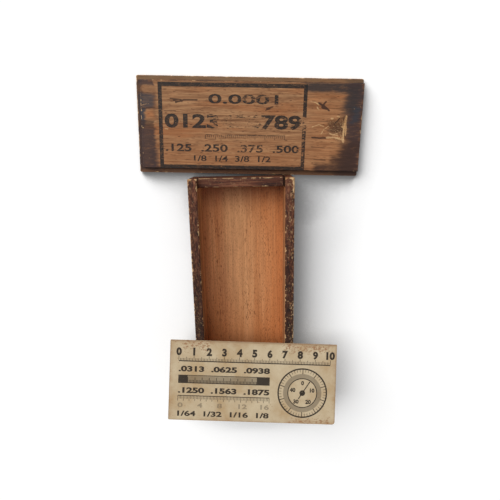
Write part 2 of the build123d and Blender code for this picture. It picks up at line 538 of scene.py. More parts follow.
    def layer(self, name: str) -> Socket:
        """The piece's own layer of one number per point."""
        return self.node("Attribute", {}, attribute_type="GEOMETRY", attribute_name=name).outputs["Fac"]

    def patch(self, spot: Value, centre: Spot, half: Spot, soft: float) -> Socket:
        """A block seen from above, 1 inside and 0 outside.

        Args:
            spot: The point.
            centre: Middle of the block.
            half: Half its size.
            soft: Width of its soft edge.

        Returns:
            How far the point lies inside.
        """
        away = self.vector("ABSOLUTE", self.vector("SUBTRACT", spot, (*centre, 0)))
        beyond = self.split(self.vector("SUBTRACT", away, (*half, 60)))
        return self.between(self.highest(*beyond), soft / 2, -soft / 2)

    def seen(self) -> Socket:
        """1 where the eye meets the surface directly, in a reflection or through glass."""
        path = self.node("LightPath", {}).outputs
        return self.highest(*(path["Is %s Ray" % kind] for kind in ("Camera", "Glossy", "Transmission")))

    def surface(self, colour: Value, roughness: Value, relief: Value, depth: float,
                **constants: float) -> bpy.types.Material:
        """Closes the recipe with a shader.

        Args:
            colour: Base colour.
            roughness: Roughness.
            relief: Height of the surface, from 0 to 1.
            depth: Depth that a relief of 1 stands for.
            **constants: Other sockets of the shader, with underscores for spaces.

        Returns:
            The material.
        """
        bump = self.new("Bump", {"Height": relief, "Distance": depth * MM, "Strength": 1.0})
        inputs = {"Base Color": colour, "Roughness": roughness, "Normal": bump}
        inputs.update({key.replace("_", " "): value for key, value in constants.items()})
        self.node("OutputMaterial", {"Surface": self.new("BsdfPrincipled", inputs)})
        return self.owner


@dataclass(frozen=True)
class CaseWood:
    """The box's wood: oiled beech inside, a dark worn stain outside."""

    along: Axis  # the grain
    shift: Point  # moves the pattern, so that no two boards match
    board: Board = Board.WALL
    wear: float = 0.5  # how far handling has worn it, from 0 to 1
    knocked: float = 0.0  # where along X the edge lies that has been knocked most
    rim: float = 27.2  # height above which the rubbed rim begins
    beech_dark: Colour = rgb(146, 88, 54)
    beech: Colour = rgb(180, 120, 76)
    beech_light: Colour = rgb(210, 155, 108)
    beech_red: Colour = rgb(178, 106, 66)
    beech_orange: Colour = rgb(188, 114, 64)
    beech_shade: Colour = rgb(102, 56, 48)
    fleck: Colour = rgb(92, 50, 30)
    stain_black: Colour = rgb(33, 18, 14)
    stain: Colour = rgb(71, 38, 26)
    stain_light: Colour = rgb(118, 76, 54)
    worn: Colour = rgb(208, 174, 130)
    worn_dark: Colour = rgb(150, 106, 68)

    def floor_tones(self, r: Recipe, spot: Socket, plank: Socket, colour: Socket) -> Socket:
        """The bands of colour that run along the floor board, and its darker ends.

        Args:
            r: The recipe that is being mixed.
            spot: The point being shaded.
            plank: The point, with its first number along the grain.
            colour: The plain beech.

        Returns:
            The colour.
        """
        x, y, _ = r.split(spot)
        across = r.add(x, r.times(r.sway(plank, (0.012, 0.06), (7, 3, 0)), 14.0))
        pale = r.times(r.between(across, -22, -6), r.between(across, 14, -5), r.remap(y, -40, 50, 0.45, 0.72))
        colour = r.glaze(colour, (r.times(r.between(across, -2, -28), 0.5), self.beech_red),
                         (pale, self.beech_light),
                         (r.times(r.between(across, 0, 18), 0.6), self.beech_orange))
        colour = r.vary(colour, r.clouds(plank, (0.035, 1.2), (3, 1, 8)), 0.3, 0.7, 0.9, 1.14)
        head = r.between(r.add(y, r.times(x, -0.06)), 50, 73)
        colour = r.glaze(colour, (r.times(head, 0.54), self.beech_shade),
                         (r.times(r.between(y, 0, -50), 0.42), self.beech_orange))
        # painted light: the floor is made lighter towards its left side, to lift the shade that the left wall
        # throws there
        return r.vary(colour, across, -28, -2, 1.26, 1.0)

    def flecks(self, r: Recipe, plank: Socket) -> Socket:
        """The beech's pores, streaks and flecks.

        Args:
            r: The recipe that is being mixed.
            plank: The point, with its first number along the grain.

        Returns:
            How far one covers the point.
        """
        pores = r.times(r.dots(plank, (0.3, 1.05), 0.34, 0.14),
                        r.area(plank, (0.03, 0.09), 0.4, 0.62, (4, 1, 0)))
        large = r.times(r.dots(plank, (0.08, 0.32), 0.22, 0.08, (1, 4, 9)),
                        r.area(plank, (0.3, 1.4), 0.44, 0.56, (2, 2, 2)))
        small = r.dots(plank, (0.5, 1.7), 0.4, 0.2, (6, 2, 3))
        streaks = r.times(r.hairlines(plank, (0.05, 0.5), 0.03, (2, 6, 1)),
                          r.area(plank, (0.05, 0.2), 0.58, 0.68, (1, 5, 9)))
        return r.highest(r.times(pores, 0.66), r.times(streaks, 0.7), r.times(small, 0.34),
                         r.times(large, 0.7))

    def outside(self, r: Recipe, plank: Socket, mottle: Socket, fibres: Socket, y: Socket) -> Socket:
        """The dark stain, crazed and lighter towards the head end.

        Args:
            r: The recipe that is being mixed.
            plank: The point, with its first number along the grain.
            mottle: The stain's unevenness.
            fibres: The fine grain.
            y: The point's place along the box.

        Returns:
            The colour.
        """
        stain = r.ramp(mottle, (0.37, self.stain_black), (0.5, self.stain), (0.64, self.stain_light))
        crazed = r.times(r.dots(plank, (0.4, 1.1), 0.34, 0.16, (4, 4, 1)),
                         r.area(plank, (0.12, 0.2), 0.42, 0.6, (3, 6, 6)))
        stain = r.mix(r.times(crazed, 0.7), stain, self.stain_black)
        patina = r.remap(r.clouds(plank, (0.035, 0.12), (2, 8, 3)), 0.35, 0.65, 0.72, 1.3)
        return r.shade(stain, r.times(r.remap(y, -25, 65, 0.44, 1.18), patina,
                                      r.remap(fibres, 0.3, 0.7, 0.8, 1.18)))

    def bared(self, r: Recipe, spot: Socket, ragged: Socket, x: Socket, z: Socket) -> Socket:
        """Where the stain is knocked, scratched and rubbed off.

        Args:
            r: The recipe that is being mixed.
            spot: The point being shaded.
            ragged: Fine noise that frays the edges of the wear.
            x: The point's place across the box.
            z: The point's height.

        Returns:
            1 where the wood is bare.
        """
        knocks = r.clouds(spot, (0.16,), (5, 5, 1), detail=2)
        handled = r.times(r.remap(z, self.rim - 18, self.rim, 0.16, 1.0), self.wear)
        near = r.between(r.math("ABSOLUTE", r.add(x, -self.knocked)), 4.6, 0.6)
        specks = r.times(r.dots(spot, (0.7, 0.5, 0.7), 0.2, 0.1, (3, 8, 5)), r.between(knocks, 0.46, 0.58))
        nicks = r.times(r.dots(spot, (0.9, 0.42, 0.9), 0.42, 0.2, (6, 1, 2)),
                        r.area(spot, (0.3, 0.22, 0.3), 0.38, 0.52, (2, 7, 4)), near)
        scratches = r.times(r.hairlines(spot, (0.24, 0.2, 0.24), 0.022, (1, 9, 4)),
                            r.area(spot, (0.3,), 0.5, 0.6, (6, 2, 8)))
        scuffs = r.times(r.area(spot, (1.0, 0.7, 1.0), 0.59, 0.68, (3, 8, 5), 4, 0.7),
                         r.between(knocks, 0.4, 0.56))
        rubbed = r.highest(r.times(specks, 0.75), r.times(scratches, 0.6), r.times(nicks, 0.7),
                           r.times(scuffs, 0.5))
        return r.highest(r.between(r.add(r.layer("bare"), ragged), 0.4, 0.6), r.times(rubbed, handled))

    def material(self, name: str) -> bpy.types.Material:
        """Mixes the finish.

        Args:
            name: The material's name.

        Returns:
            The material.
        """
        r = Recipe(bpy.data.materials.new(name))
        spot = r.place()
        x, y, z = r.split(spot)
        plank = r.stretch(r.join(y, x, z) if self.along is Axis.Y else spot, (1,), self.shift)
        fibres = r.clouds(plank, (0.05, 2.6))
        bands = r.clouds(plank, (0.006, 0.13))
        beech = r.ramp(bands, (0.32, self.beech_dark), (0.5, self.beech), (0.7, self.beech_light))
        if self.board is Board.FLOOR:
            beech = self.floor_tones(r, spot, plank, beech)
        else:
            beech = r.shade(beech, 1.0 - 0.2 * self.wear)
        flecks = self.flecks(r, plank)
        beech = r.mix(flecks, r.vary(beech, fibres, 0.25, 0.75, 0.84, 1.12), self.fleck)
        blotchy = r.clouds(plank, (0.22, 0.7), detail=6, rough=0.78)
        grainy = r.remap(r.clouds(plank, (0.045, 0.8), (8, 2, 6), 5, 0.62), 0, 1, 0.14, 0.86)
        mottle = r.mix(r.between(z, self.rim - 0.9, self.rim), grainy, blotchy)
        stain = self.outside(r, plank, mottle, fibres, y)
        ragged = r.sway(spot, (1.1,), detail=4)
        stained = r.between(r.add(r.layer("stain"), r.times(ragged, 0.5)), 0.35, 0.6)
        bare = self.bared(r, spot, ragged, x, z)
        worn = r.mix(r.area(plank, (0.2, 0.7), 0.35, 0.65, (9, 2, 1)), self.worn_dark, self.worn)
        colour = r.mix(stained, beech, r.mix(bare, stain, worn))
        colour = r.mix(r.times(r.layer("dark"), 0.9), colour, self.stain_black)
        roughness = r.remap(r.add(stained, r.times(bare, -0.6)), 0, 1, 0.66, 0.5)
        relief = r.add(r.times(fibres, 0.5), r.times(flecks, -0.4), r.times(mottle, 0.5), r.times(bare, -0.4))
        return r.surface(colour, roughness, relief, 0.1, Specular_IOR_Level=0.16)


@dataclass(frozen=True)
class LidWood:
    """The lid's wood: rubbed tan in the middle, dark handled stain at both ends."""

    origin: Point  # middle of the lid's underside
    turn: float  # the lid's turn about Z in radians
    pore: Colour = rgb(92, 58, 38)
    tan_dark: Colour = rgb(112, 74, 48)
    tan: Colour = rgb(153, 110, 76)
    tan_light: Colour = rgb(177, 134, 95)
    orange: Colour = rgb(158, 97, 56)
    strip: Colour = rgb(150, 121, 88)
    purple: Colour = rgb(60, 44, 42)
    charcoal: Colour = rgb(50, 43, 42)
    umber: Colour = rgb(56, 37, 30)
    slate: Colour = rgb(48, 50, 57)
    crack: Colour = rgb(44, 28, 24)
    ink: Colour = rgb(17, 19, 20)
    ink_worn: Colour = rgb(56, 42, 34)
    pale: Colour = rgb(206, 172, 124)

    def blots(self) -> Iterable[tuple[Spot, Spot, float, Colour, float]]:
        """The stains in the order laid, then painted shade: middle, half size, width of the soft edge, colour
        and strength.
        """
        return (
            ((-73.0, 0.0), (2.6, 29.0), 1.5, self.umber, 0.7),
            ((-68.0, 26.5), (5.8, 1.7), 1.2, self.purple, 0.9),
            ((-68.0, 21.8), (7.0, 1.6), 2.0, self.tan_dark, 0.45),
            ((-68.4, 15.0), (6.2, 4.6), 3.0, self.slate, 0.82),
            ((-66.4, 10.4), (4.6, 0.35), 0.6, self.crack, 0.8),
            ((-71.2, 4.4), (2.2, 6.0), 1.8, self.slate, 0.92),
            ((-65.6, 6.8), (2.6, 2.3), 2.2, self.orange, 0.6),
            ((-68.8, 0.0), (5.6, 2.9), 1.4, self.umber, 0.75),
            ((-69.3, -15.9), (6.6, 13.4), 2.2, self.purple, 0.92),
            ((-63.2, -23.0), (2.4, 7.0), 3.4, self.purple, 0.75),
            ((56.0, 25.2), (18.3, 2.9), 2.6, self.charcoal, 0.94),
            ((70.4, 0.0), (6.2, 31.0), 7.0, self.purple, 0.97),
            ((67.0, 17.0), (5.0, 8.5), 6.0, self.charcoal, 0.85),
            ((67.5, -20.0), (7.0, 11.5), 7.0, self.umber, 0.92),
            ((58.5, -26.4), (13.5, 3.2), 4.0, self.umber, 0.9),
            ((60.0, -20.5), (4.5, 3.0), 4.0, self.umber, 0.8),
            ((58.0, 0.5), (4.5, 4.2), 4.5, self.umber, 0.62),
            ((71.0, 8.0), (2.0, 5.0), 2.5, self.slate, 0.7),
            ((-62.5, 12.5), (1.0, 8.0), 2.5, self.tan_dark, 0.5),
            ((-14.0, 27.4), (52.0, 0.6), 1.0, self.tan_dark, 0.5),
            # painted shade: dark lines where the panel's long sides meet the tongues, and the panel's shadow
            # on the tongue at -Y
            ((0.0, 28.3), (74.0, 0.35), 0.35, self.umber, 0.8),
            ((0.0, -28.25), (74.0, 0.45), 0.4, self.crack, 0.7),
            ((0.0, -29.8), (76.0, 1.9), 0.7, self.umber, 0.56),
        )

    def blotted(self, r: Recipe, plank: Socket, colour: Socket, fibres: Socket) -> tuple[Socket, Socket]:
        """Lays the stains and the painted shade on the wood, feathered along the grain.

        Args:
            r: The recipe that is being mixed.
            plank: The point in the lid's own frame.
            colour: The wood.
            fibres: The fine grain.

        Returns:
            The colour, and how far the stains and the painted shade hide the wood.
        """
        reach = r.remap(r.split(plank)[0], -62, 30, 5.0, 9.0)
        fringe = r.join(r.times(r.sway(plank, (0.06, 0.75), detail=4, rough=0.65), reach),
                        r.times(r.sway(plank, (0.1, 0.2), (3, 3, 3)), 3.0), 0.0)
        wander = r.join(r.times(r.sway(plank, (0.04, 0.13), (5, 9, 1), 2), reach, 0.9), 0.0, 0.0)
        blurred = r.vector("ADD", plank, r.vector("ADD", fringe, wander))
        patchy = r.remap(r.area(plank, (0.16, 0.5), 0.26, 0.5, (6, 1, 4), 5, 0.7), 0, 1, 0.6, 1.0)
        stain_and_shade = 0.0
        for centre, half, soft, tone, strength in self.blots():
            here = r.times(r.patch(blurred, centre, half, soft), strength, patchy)
            colour = r.mix(here, colour, r.vary(tone, fibres, 0.3, 0.7, 0.78, 1.22))
            stain_and_shade = r.highest(here, stain_and_shade)
        return colour, stain_and_shade

    def wood(self, r: Recipe, plank: Socket, streaks: Socket, fibres: Socket, grime: Socket) -> Socket:
        """The tan wood, warmer and dirtier in places.

        Args:
            r: The recipe that is being mixed.
            plank: The point in the lid's own frame.
            streaks: The broad grain.
            fibres: The fine grain.
            grime: Old dirt.

        Returns:
            The colour.
        """
        x, y, _ = r.split(plank)
        colour = r.ramp(streaks, (0.34, self.tan_dark), (0.48, self.tan), (0.66, self.tan_light))
        warm = r.highest(r.area(plank, (0.018, 0.12), 0.5, 0.7, (2, 0, 5), 2),
                         r.times(r.between(x, 34, 46), 0.55), r.times(r.between(y, 0, -20), 0.5))
        colour = r.mix(r.times(warm, 0.6), colour, self.orange)
        colour = r.vary(colour, grime, 0.3, 0.7, 0.86, 1.1)
        return r.vary(colour, fibres, 0.25, 0.75, 0.73, 1.22)

    def pores(self, r: Recipe, plank: Socket) -> Socket:
        """Dark dashes, checks and pits along the grain.

        Args:
            r: The recipe that is being mixed.
            plank: The point in the lid's own frame.

        Returns:
            How far one covers the point.
        """
        dashes = r.times(r.dots(plank, (0.17, 0.85), 0.3, 0.12, (5, 2, 0)),
                         r.area(plank, (0.05, 0.1), 0.36, 0.54, (1, 7, 2)))
        checks = r.times(r.hairlines(plank, (0.03, 0.4), 0.022, (3, 3, 7)),
                         r.area(plank, (0.07, 0.25), 0.5, 0.6, (8, 8, 2)))
        pits = r.times(r.dots(plank, (0.15, 0.42), 0.2, 0.08, (2, 9, 4)),
                       r.area(plank, (0.4, 1.6), 0.42, 0.52, (7, 3, 1)))
        return r.highest(r.times(dashes, 0.6), r.times(checks, 0.7), r.times(pits, 0.9))

    def material(self, name: str, ink: Ink = Ink.NONE) -> bpy.types.Material:
        """Mixes the finish.

        Args:
            name: The material's name.
            ink: Whether the stencil's ink lies on the wood.

        Returns:
            The material.
        """
        r = Recipe(bpy.data.materials.new(name))
        plank = r.place(self.origin, self.turn)
        x, y, z = r.split(plank)
        streaks = r.clouds(plank, (0.035, 0.75), detail=6, rough=0.72)
        fibres = r.clouds(plank, (0.13, 2.8))
        grime = r.clouds(plank, (0.09, 0.3), (1, 4, 4), 5, 0.65)
        pores = self.pores(r, plank)
        colour = r.mix(pores, self.wood(r, plank, streaks, fibres, grime), self.pore)
        colour, stain_and_shade = self.blotted(r, plank, colour, fibres)
        top_strip = r.times(r.between(z, 5.4, 4.6), r.between(y, 28.5, 29.1),
                            r.remap(grime, 0.35, 0.65, 0.35, 0.9), r.remap(x, -30, 70, 1.0, 0.6))
        # painted shade: the foot of the panel's upright faces, just above the tongues, is darkened
        step = r.times(r.between(z, 6.0, 4.0), r.between(z, 2.9, 3.1), 0.7)
        cracked = r.times(r.between(r.layer("dark"), 0.22, 0.6), 0.85)
        bare = r.between(r.add(r.layer("bare"), r.times(r.sway(plank, (1,), detail=4), 0.9)), 0.4, 0.7)
        torn = r.times(r.patch(plank, (58.6, -1.0), (5.0, 7.0), 4.0),
                       r.area(plank, (0.9, 1.3), 0.55, 0.66, (4, 4, 9), 5, 0.7))
        wear = r.mix(r.between(fibres, 0.4, 0.65), self.tan_light, self.pale)
        colour = r.glaze(colour, (top_strip, self.strip), (step, self.umber),
                         (r.times(r.between(z, 0.4, 0.2), 0.5), self.orange), (cracked, self.crack),
                         (r.times(bare, 0.9), wear), (r.times(torn, 0.75), self.pale))
        inked = 0.0
        if ink is Ink.STENCIL:
            inked = self.ink_cover(r, plank)
            tint = r.mix(r.area(plank, (0.5, 1.2), 0.5, 0.7), self.ink, self.ink_worn)
            colour = r.mix(inked, colour, tint)
        roughness = r.remap(r.add(stain_and_shade, inked), 0, 1, 0.64, 0.5)
        relief = r.add(r.times(streaks, 0.6), r.times(fibres, 0.5), r.times(pores, -0.5))
        return r.surface(colour, roughness, relief, 0.08, Specular_IOR_Level=0.16)

    def ink_cover(self, r: Recipe, plank: Socket) -> Socket:
        """How much of the stencil's ink is left.

        Args:
            r: The recipe that is being mixed.
            plank: The point in the lid's own frame.

        Returns:
            1 where the ink is whole and 0 where it is gone.
        """
        hollows = r.clouds(plank, (0.4, 1.3), (8, 5, 3), 5, 0.7)
        rubbed = r.patch(plank, (-8.0, 2.0), (14.0, 5.0), 22.0)
        edges = r.highest(r.times(r.patch(plank, (36.5, -12.0), (2.5, 14.0), 8.0), 0.55),
                          r.patch(plank, (36.5, 3.4), (2.5, 3.4), 3.0))
        lines = r.highest(r.patch(plank, (2.0, -14.5), (13.0, 2.0), 10.0),
                          r.patch(plank, (6.0, 17.5), (12.0, 2.5), 10.0))
        left_edge = r.patch(plank, (-58.7, -6.0), (1.8, 16.0), 8.0)
        loss = r.add(hollows, r.times(rubbed, 0.3), r.times(edges, 0.2), r.times(lines, 0.12),
                     r.times(left_edge, 0.04))
        grain = r.clouds(plank, (0.25, 3.0), (1, 1, 6), 2)
        return r.times(r.between(loss, 0.67, 0.6), r.remap(grain, 0.55, 0.75, 0.96, 0.55))


@dataclass(frozen=True)
class AgedPaper:
    """Yellowed, foxed paper with worn edges."""

    origin: Point  # middle of the fold
    turn: float  # the leaflet's turn about Z in radians
    length: float  # of a leaf along the fold
    width: float  # of a leaf away from the fold
    cream: Colour = rgb(188, 168, 137)
    cream_light: Colour = rgb(199, 182, 152)
    yellowed: Colour = rgb(177, 150, 113)
    foxing: Colour = rgb(134, 80, 42)
    grime: Colour = rgb(120, 92, 64)
    ink: Colour = rgb(46, 40, 36)
    ink_tint: Colour = rgb(92, 84, 72)

    def material(self, name: str, ink: Ink = Ink.NONE) -> bpy.types.Material:
        """Mixes the finish.

        Args:
            name: The material's name.
            ink: Whether print lies on the paper, and how heavy it is.

        Returns:
            The material.
        """
        r = Recipe(bpy.data.materials.new(name))
        sheet = r.place(self.origin, self.turn)
        x, y, _ = r.split(sheet)
        clouds = r.clouds(sheet, (0.07,), detail=5, rough=0.6)
        pulp = r.clouds(sheet, (2.2,), detail=4, rough=0.7)
        colour = r.ramp(clouds, (0.3, self.yellowed), (0.5, self.cream), (0.7, self.cream_light))
        colour = r.vary(colour, pulp, 0.25, 0.75, 0.93, 1.05)
        to_side = r.math("SUBTRACT", self.length / 2, r.math("ABSOLUTE", x))
        to_free = r.math("ABSOLUTE", r.add(y, self.width - 1.5))
        inside = r.math("MINIMUM", to_side, r.math("MINIMUM", r.math("ABSOLUTE", y), to_free))
        blotches = r.clouds(sheet, (0.12, 0.2), (4, 9, 2), 5, 0.7)
        margin = r.between(r.add(inside, r.times(blotches, -10.0)), -1.5, -6.5)
        corners = r.highest(r.patch(sheet, (38.0, -2.5), (17.0, 3.0), 6.0),
                            r.patch(sheet, (-40.0, -3.0), (10.0, 3.5), 6.0),
                            r.patch(sheet, (40.0, -52.0), (14.0, 2.0), 5.0))
        spots = r.add(r.clouds(sheet, (0.55, 0.8), (2, 2, 7), 4, 0.7), r.times(corners, 0.15))
        colour = r.glaze(colour, (r.times(margin, 0.34), self.foxing),
                         (r.times(r.between(spots, 0.63, 0.7), 0.65), self.foxing),
                         (r.times(r.between(inside, 0.9, 0.2), 0.35), self.grime))
        if ink is not Ink.NONE:
            strength, tint = (0.96, self.ink) if ink is Ink.PRINT else (0.55, self.ink_tint)
            cover = r.area(sheet, (0.9,), 0.78, 0.64, (5, 5, 5), 4, 0.6)
            colour = r.mix(r.times(cover, strength), colour, tint)
        return r.surface(colour, 0.88, r.add(r.times(pulp, 0.5), clouds), 0.06, Specular_IOR_Level=0.12)


@dataclass(frozen=True)
class DullIron:
    """Dark iron with a bloom of rust."""

    iron: Colour = rgb(82, 76, 72)
    rust: Colour = rgb(104, 62, 38)

    def material(self, name: str) -> bpy.types.Material:
        """Mixes the finish.

        Args:
            name: The material's name.

        Returns:
            The material.
        """
        r = Recipe(bpy.data.materials.new(name))
        bloom = r.clouds(r.place(), (1.4,), detail=5, rough=0.7)
        rusty = r.between(bloom, 0.42, 0.62)
        return r.surface(r.mix(rusty, self.iron, self.rust), r.remap(rusty, 0, 1, 0.45, 0.85), bloom, 0.05,
                         Metallic=0.7)


# ---- The box ----


@dataclass
class Box:
    """The box: four walls on a floor board, nailed with brads. Lengths are in millimetres."""

    groove_low: float = 21.1
    groove_high: float = 24.4
    groove_depth: float = 3.25
    rounding: float = 0.7  # of the walls' handled edges
    arris: float = 0.4  # the floor board's rounding
    spacing: float = 0.5  # between points along a worn wall
    fine: float = 0.6  # between points across a wall
    coarse: float = 0.8  # between points on the floor board
    seam: float = 6.5  # length of the painted shade in the gap where a side wall meets the end walls
    stain_edge: float = 0.7  # how far the stain runs down a wall's inner face
    dry_edge: float = 4.6  # how far the floor board's stain reaches in
    brad_length: float = 15.0
    brad_head: float = 2.4
    brad_dimple: float = 0.22
    wall_slot: str = "stained_wall_wood"
    floor_slot: str = "beech_floor_wood"
    brad_slot: str = "dull_iron"

    def corners(self, node: str) -> tuple[Vector, Vector]:
        """Lowest and highest corner of a node in millimetres."""
        low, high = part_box(node)
        return low / MM, high / MM

    def wall(self, outline: Sequence[Spot], along: Axis, ends: Spot, rounded: EdgeTest,
             lines: dict[Axis, Sequence[float]]) -> Stock:
        """A board sawn, rounded and divided finely enough to wear.

        Args:
            outline: Its cross-section.
            along: Its length.
            ends: Where it starts and ends.
            rounded: Picks the handled edges.
            lines: Where it is scored, so that every face has four sides before it is divided.

        Returns:
            The board, ready to be weathered.
        """
        stock = Stock.prism(outline, along, *ends)
        stock.round_edges(rounded, self.rounding, 3)
        for axis, places in lines.items():
            stock.cut(axis, *places)
        for axis in Axis:
            stock.divide(axis, self.spacing if axis is along else self.fine)
        return stock

    def groove(self, inner: float, bottom: float) -> list[Spot]:
        """The groove's corners in a wall's cross-section, from the top down."""
        return [(inner, self.groove_high), (bottom, self.groove_high), (bottom, self.groove_low),
                (inner, self.groove_low)]

    def stain(self, stock: Stock, past_edge: Callable[[Vector], float]) -> None:
        """Writes down how far the stain covers each point, given how far it lies past the stain's edge."""
        stock.write("stain", lambda place: 1 - ease(past_edge(place) + 0.35 * noise.noise(place * 0.5),
                                                    -0.1, 0.5))

    def dimple(self, stock: Stock, heads: Iterable[Point], normal: Point) -> None:
        """Presses the dimples of brads into a face of a board."""
        stock.dent(heads, normal, self.brad_head / 2 + 0.15, self.brad_dimple)

    def dress(self, stock: Stock, node: str, wood: CaseWood, slot: str) -> None:
        """Finishes a board with its wood, and seats it in place of its node."""
        seat(stock.finish(node + "_wood", wood.material(node + "_finish")), "box", slot, node)

    def side_wall(self, node: str, side: int, seed: float) -> None:
        """Builds one side wall, grooved for the lid.

        Args:
            node: The node that it stands for.
            side: -1 for the left wall and 1 for the right one.
            seed: Picks its wear.
        """
        low, high = self.corners(node)
        inner, outer = (high.x, low.x) if side < 0 else (low.x, high.x)
        bottom, top, foot, head = inner + side * self.groove_depth, high.z, low.y, high.y
        outline = [(outer, low.z), (outer, top), (inner, top), *self.groove(inner, bottom), (inner, low.z)]

        def handled(a: Vector, b: Vector) -> bool:
            """The rim's edges and the two outer upright edges."""
            on_outside = max(abs(a.x - outer), abs(b.x - outer), abs(a.y - b.y)) < NEAR
            return on_outside or min(a.z, b.z) > top - NEAR

        stock = self.wall(outline, Axis.Y, (foot, head), handled, {
            Axis.X: (bottom, outer - side * self.rounding, inner + side * self.rounding),
            Axis.Y: (foot + self.rounding, head - self.rounding),
            Axis.Z: (self.groove_low, self.groove_high, top - self.rounding)})
        heavy = 1.0 if side > 0 else 0.7
        out_down, in_down = (-side, 0, -1), (side, 0, -1)
        stock.weather([
            Arris((outer, foot, top), (outer, head, top), out_down, 1.1 * heavy, 0.55, seed),
            Arris((inner, foot, top), (inner, head, top), in_down, 0.8, 0.45, seed + 1),
            Arris((outer, head, low.z), (outer, head, top), (-side, -1, 0), 0.5, 0.6, seed + 2),
            Arris((outer, foot, low.z), (outer, foot, top), (-side, 1, 0), 0.9, 0.6, seed + 3),
            Arris((outer, head, top), (inner, head, top), (0, -1, -1), 0.6, 1.7, seed + 4),
            Arris((outer, head - 9 * heavy, top), (outer, head, top), out_down, 1.0, 1.4 * heavy, seed + 6),
            Arris((outer, foot, top), (inner, foot, top), (0, 1, -1), 0.9, 0.6, seed + 5)])
        in_groove = self.groove_depth + 0.05
        self.stain(stock, lambda place: -1.0 if abs(place.x - inner) > in_groove or abs(place.y) > head - 0.4
                   else top - self.stain_edge - place.z)
        # painted shade: the side wall's inner face is darkened in the gap where an end wall meets it
        stock.write("dark", lambda place: abs(place.x - inner) < 0.4 and place.z < top - 0.9
                    and abs(place.y) > head - self.seam)
        heads = self.brad_places("head_corner_brads", Axis.X) + self.brad_places("foot_corner_brads", Axis.X)
        self.dimple(stock, [(outer, y, z) for x, y, z in heads if x * side > 0], (side, 0, 0))
        wood = CaseWood(Axis.Y, (17.0 * side, seed, 0), wear=0.7 + 0.3 * side, knocked=outer)
        self.dress(stock, node, wood, self.wall_slot)

    def end_wall(self, node: str, seed: float) -> None:
        """Builds the head wall or the foot wall.

        Args:
            node: The node that it stands for.
            seed: Picks its wear.
        """
        low, high = self.corners(node)
        at_head = high.y > 0
        inner, outer, into = (low.y, high.y, -1) if at_head else (high.y, low.y, 1)
        top, left, right = high.z, low.x, high.x
        outline = [(outer, low.z), (outer, top), (inner, top)]
        lines = {Axis.Y: [outer + into * self.rounding, inner - into * self.rounding],
                 Axis.Z: [top - self.rounding]}
        if not at_head:
            bottom = inner - into * self.groove_depth
            lines[Axis.Y].append(bottom)
            lines[Axis.Z] += [self.groove_low, self.groove_high]
            outline += self.groove(inner, bottom)
        outline.append((inner, low.z))

        def handled(a: Vector, b: Vector) -> bool:
            """The two long edges of the rim."""
            return min(a.z, b.z) > top - NEAR and abs(a.x - b.x) > 1

        stock = self.wall(outline, Axis.X, (left, right), handled, lines)
        stock.weather([Arris((left, outer, top), (right, outer, top), (0, into, -1), 0.6, 0.7, seed),
                       Arris((left, inner, top), (right, inner, top), (0, -into, -1), 0.9, 0.6, seed + 1)])
        in_groove = self.groove_depth + 0.05
        self.stain(stock, lambda place: -1.0 if abs(place.y - inner) > in_groove else top - 0.9 - place.z)
        # painted shade: the end faces that butt against the side walls are darkened, as the shade in the
        # joint gap
        stock.write("dark", lambda place: place.x < left + 0.1 or place.x > right - 0.1)
        wood = CaseWood(Axis.X, (seed, 31.0, 5.0), worn=rgb(178, 146, 108), worn_dark=rgb(136, 104, 74))
        self.dress(stock, node, wood, self.wall_slot)

    def floor_board(self) -> None:
        """Builds the thin board under the four walls."""
        low, high = self.corners("floor_board")
        corners = [(low.x, low.y), (high.x, low.y), (high.x, high.y), (low.x, high.y)]
        stock = Stock.prism(corners, Axis.Z, low.z, high.z)
        stock.round_edges(lambda a, b: abs(a.z - b.z) > 1 or max(a.z, b.z) < low.z + NEAR, self.arris)
        stock.cut(Axis.X, low.x + self.arris, high.x - self.arris)
        stock.cut(Axis.Y, low.y + self.arris, high.y - self.arris)
        stock.cut(Axis.Z, low.z + self.arris)
        for axis, spacing in ((Axis.Y, self.coarse), (Axis.X, self.coarse), (Axis.Z, 0.7)):
            stock.divide(axis, spacing)
        arrises = []
        for number, (start, end) in enumerate(zip(corners, corners[1:] + corners[:1])):
            inward = [-math.copysign(1, one) if one == other else 0 for one, other in zip(start, end)]
            arrises.append(Arris((*start, low.z), (*end, low.z), (*inward, 1), 0.9, 0.6, 40.0 + number))
        stock.weather(arrises)
        dry_x, dry_y = high.x - self.dry_edge, high.y - self.dry_edge
        self.stain(stock, lambda place: 1.0 if place.z > high.z - 0.1 and abs(place.x) < dry_x
                   and abs(place.y) < dry_y else -1.0)
        self.dimple(stock, self.brad_places("floor_brads", Axis.Z), (0, 0, -1))
        self.dress(stock, "floor_board", CaseWood(Axis.Y, (3.0, 11.0, 7.0), Board.FLOOR), self.floor_slot)

    def brad_places(self, node: str, along: Axis) -> list[Point]:
        """Middle of each brad's head, found from the node's own solids.

        Args:
            node: A node of brads.
            along: Direction that its brads point in.

        Returns:
            The middles, in millimetres.
        """
        source = bmesh.new()
        source.from_mesh(frame["nodes"][node].data)
        bmesh.ops.remove_doubles(source, verts=source.verts, dist=1e-6)
        left, places = set(source.verts), []
        while left:
            island, reached = set(), [next(iter(left))]
            while reached:
                vert = reached.pop()
                if vert not in island:
                    island.add(vert)
                    reached += [edge.other_vert(vert) for edge in vert.link_edges]
            left -= island
            ranges = [[end / MM for end in span((vert.co for vert in island), axis.value)] for axis in Axis]
            middle = [sum(ends) / 2 for ends in ranges]
            lower_end = along is Axis.Z or middle[0] < 0
            middle[along.value] = ranges[along.value][0 if lower_end else 1]
            places.append(tuple(middle))
        source.free()
        return sorted(places)

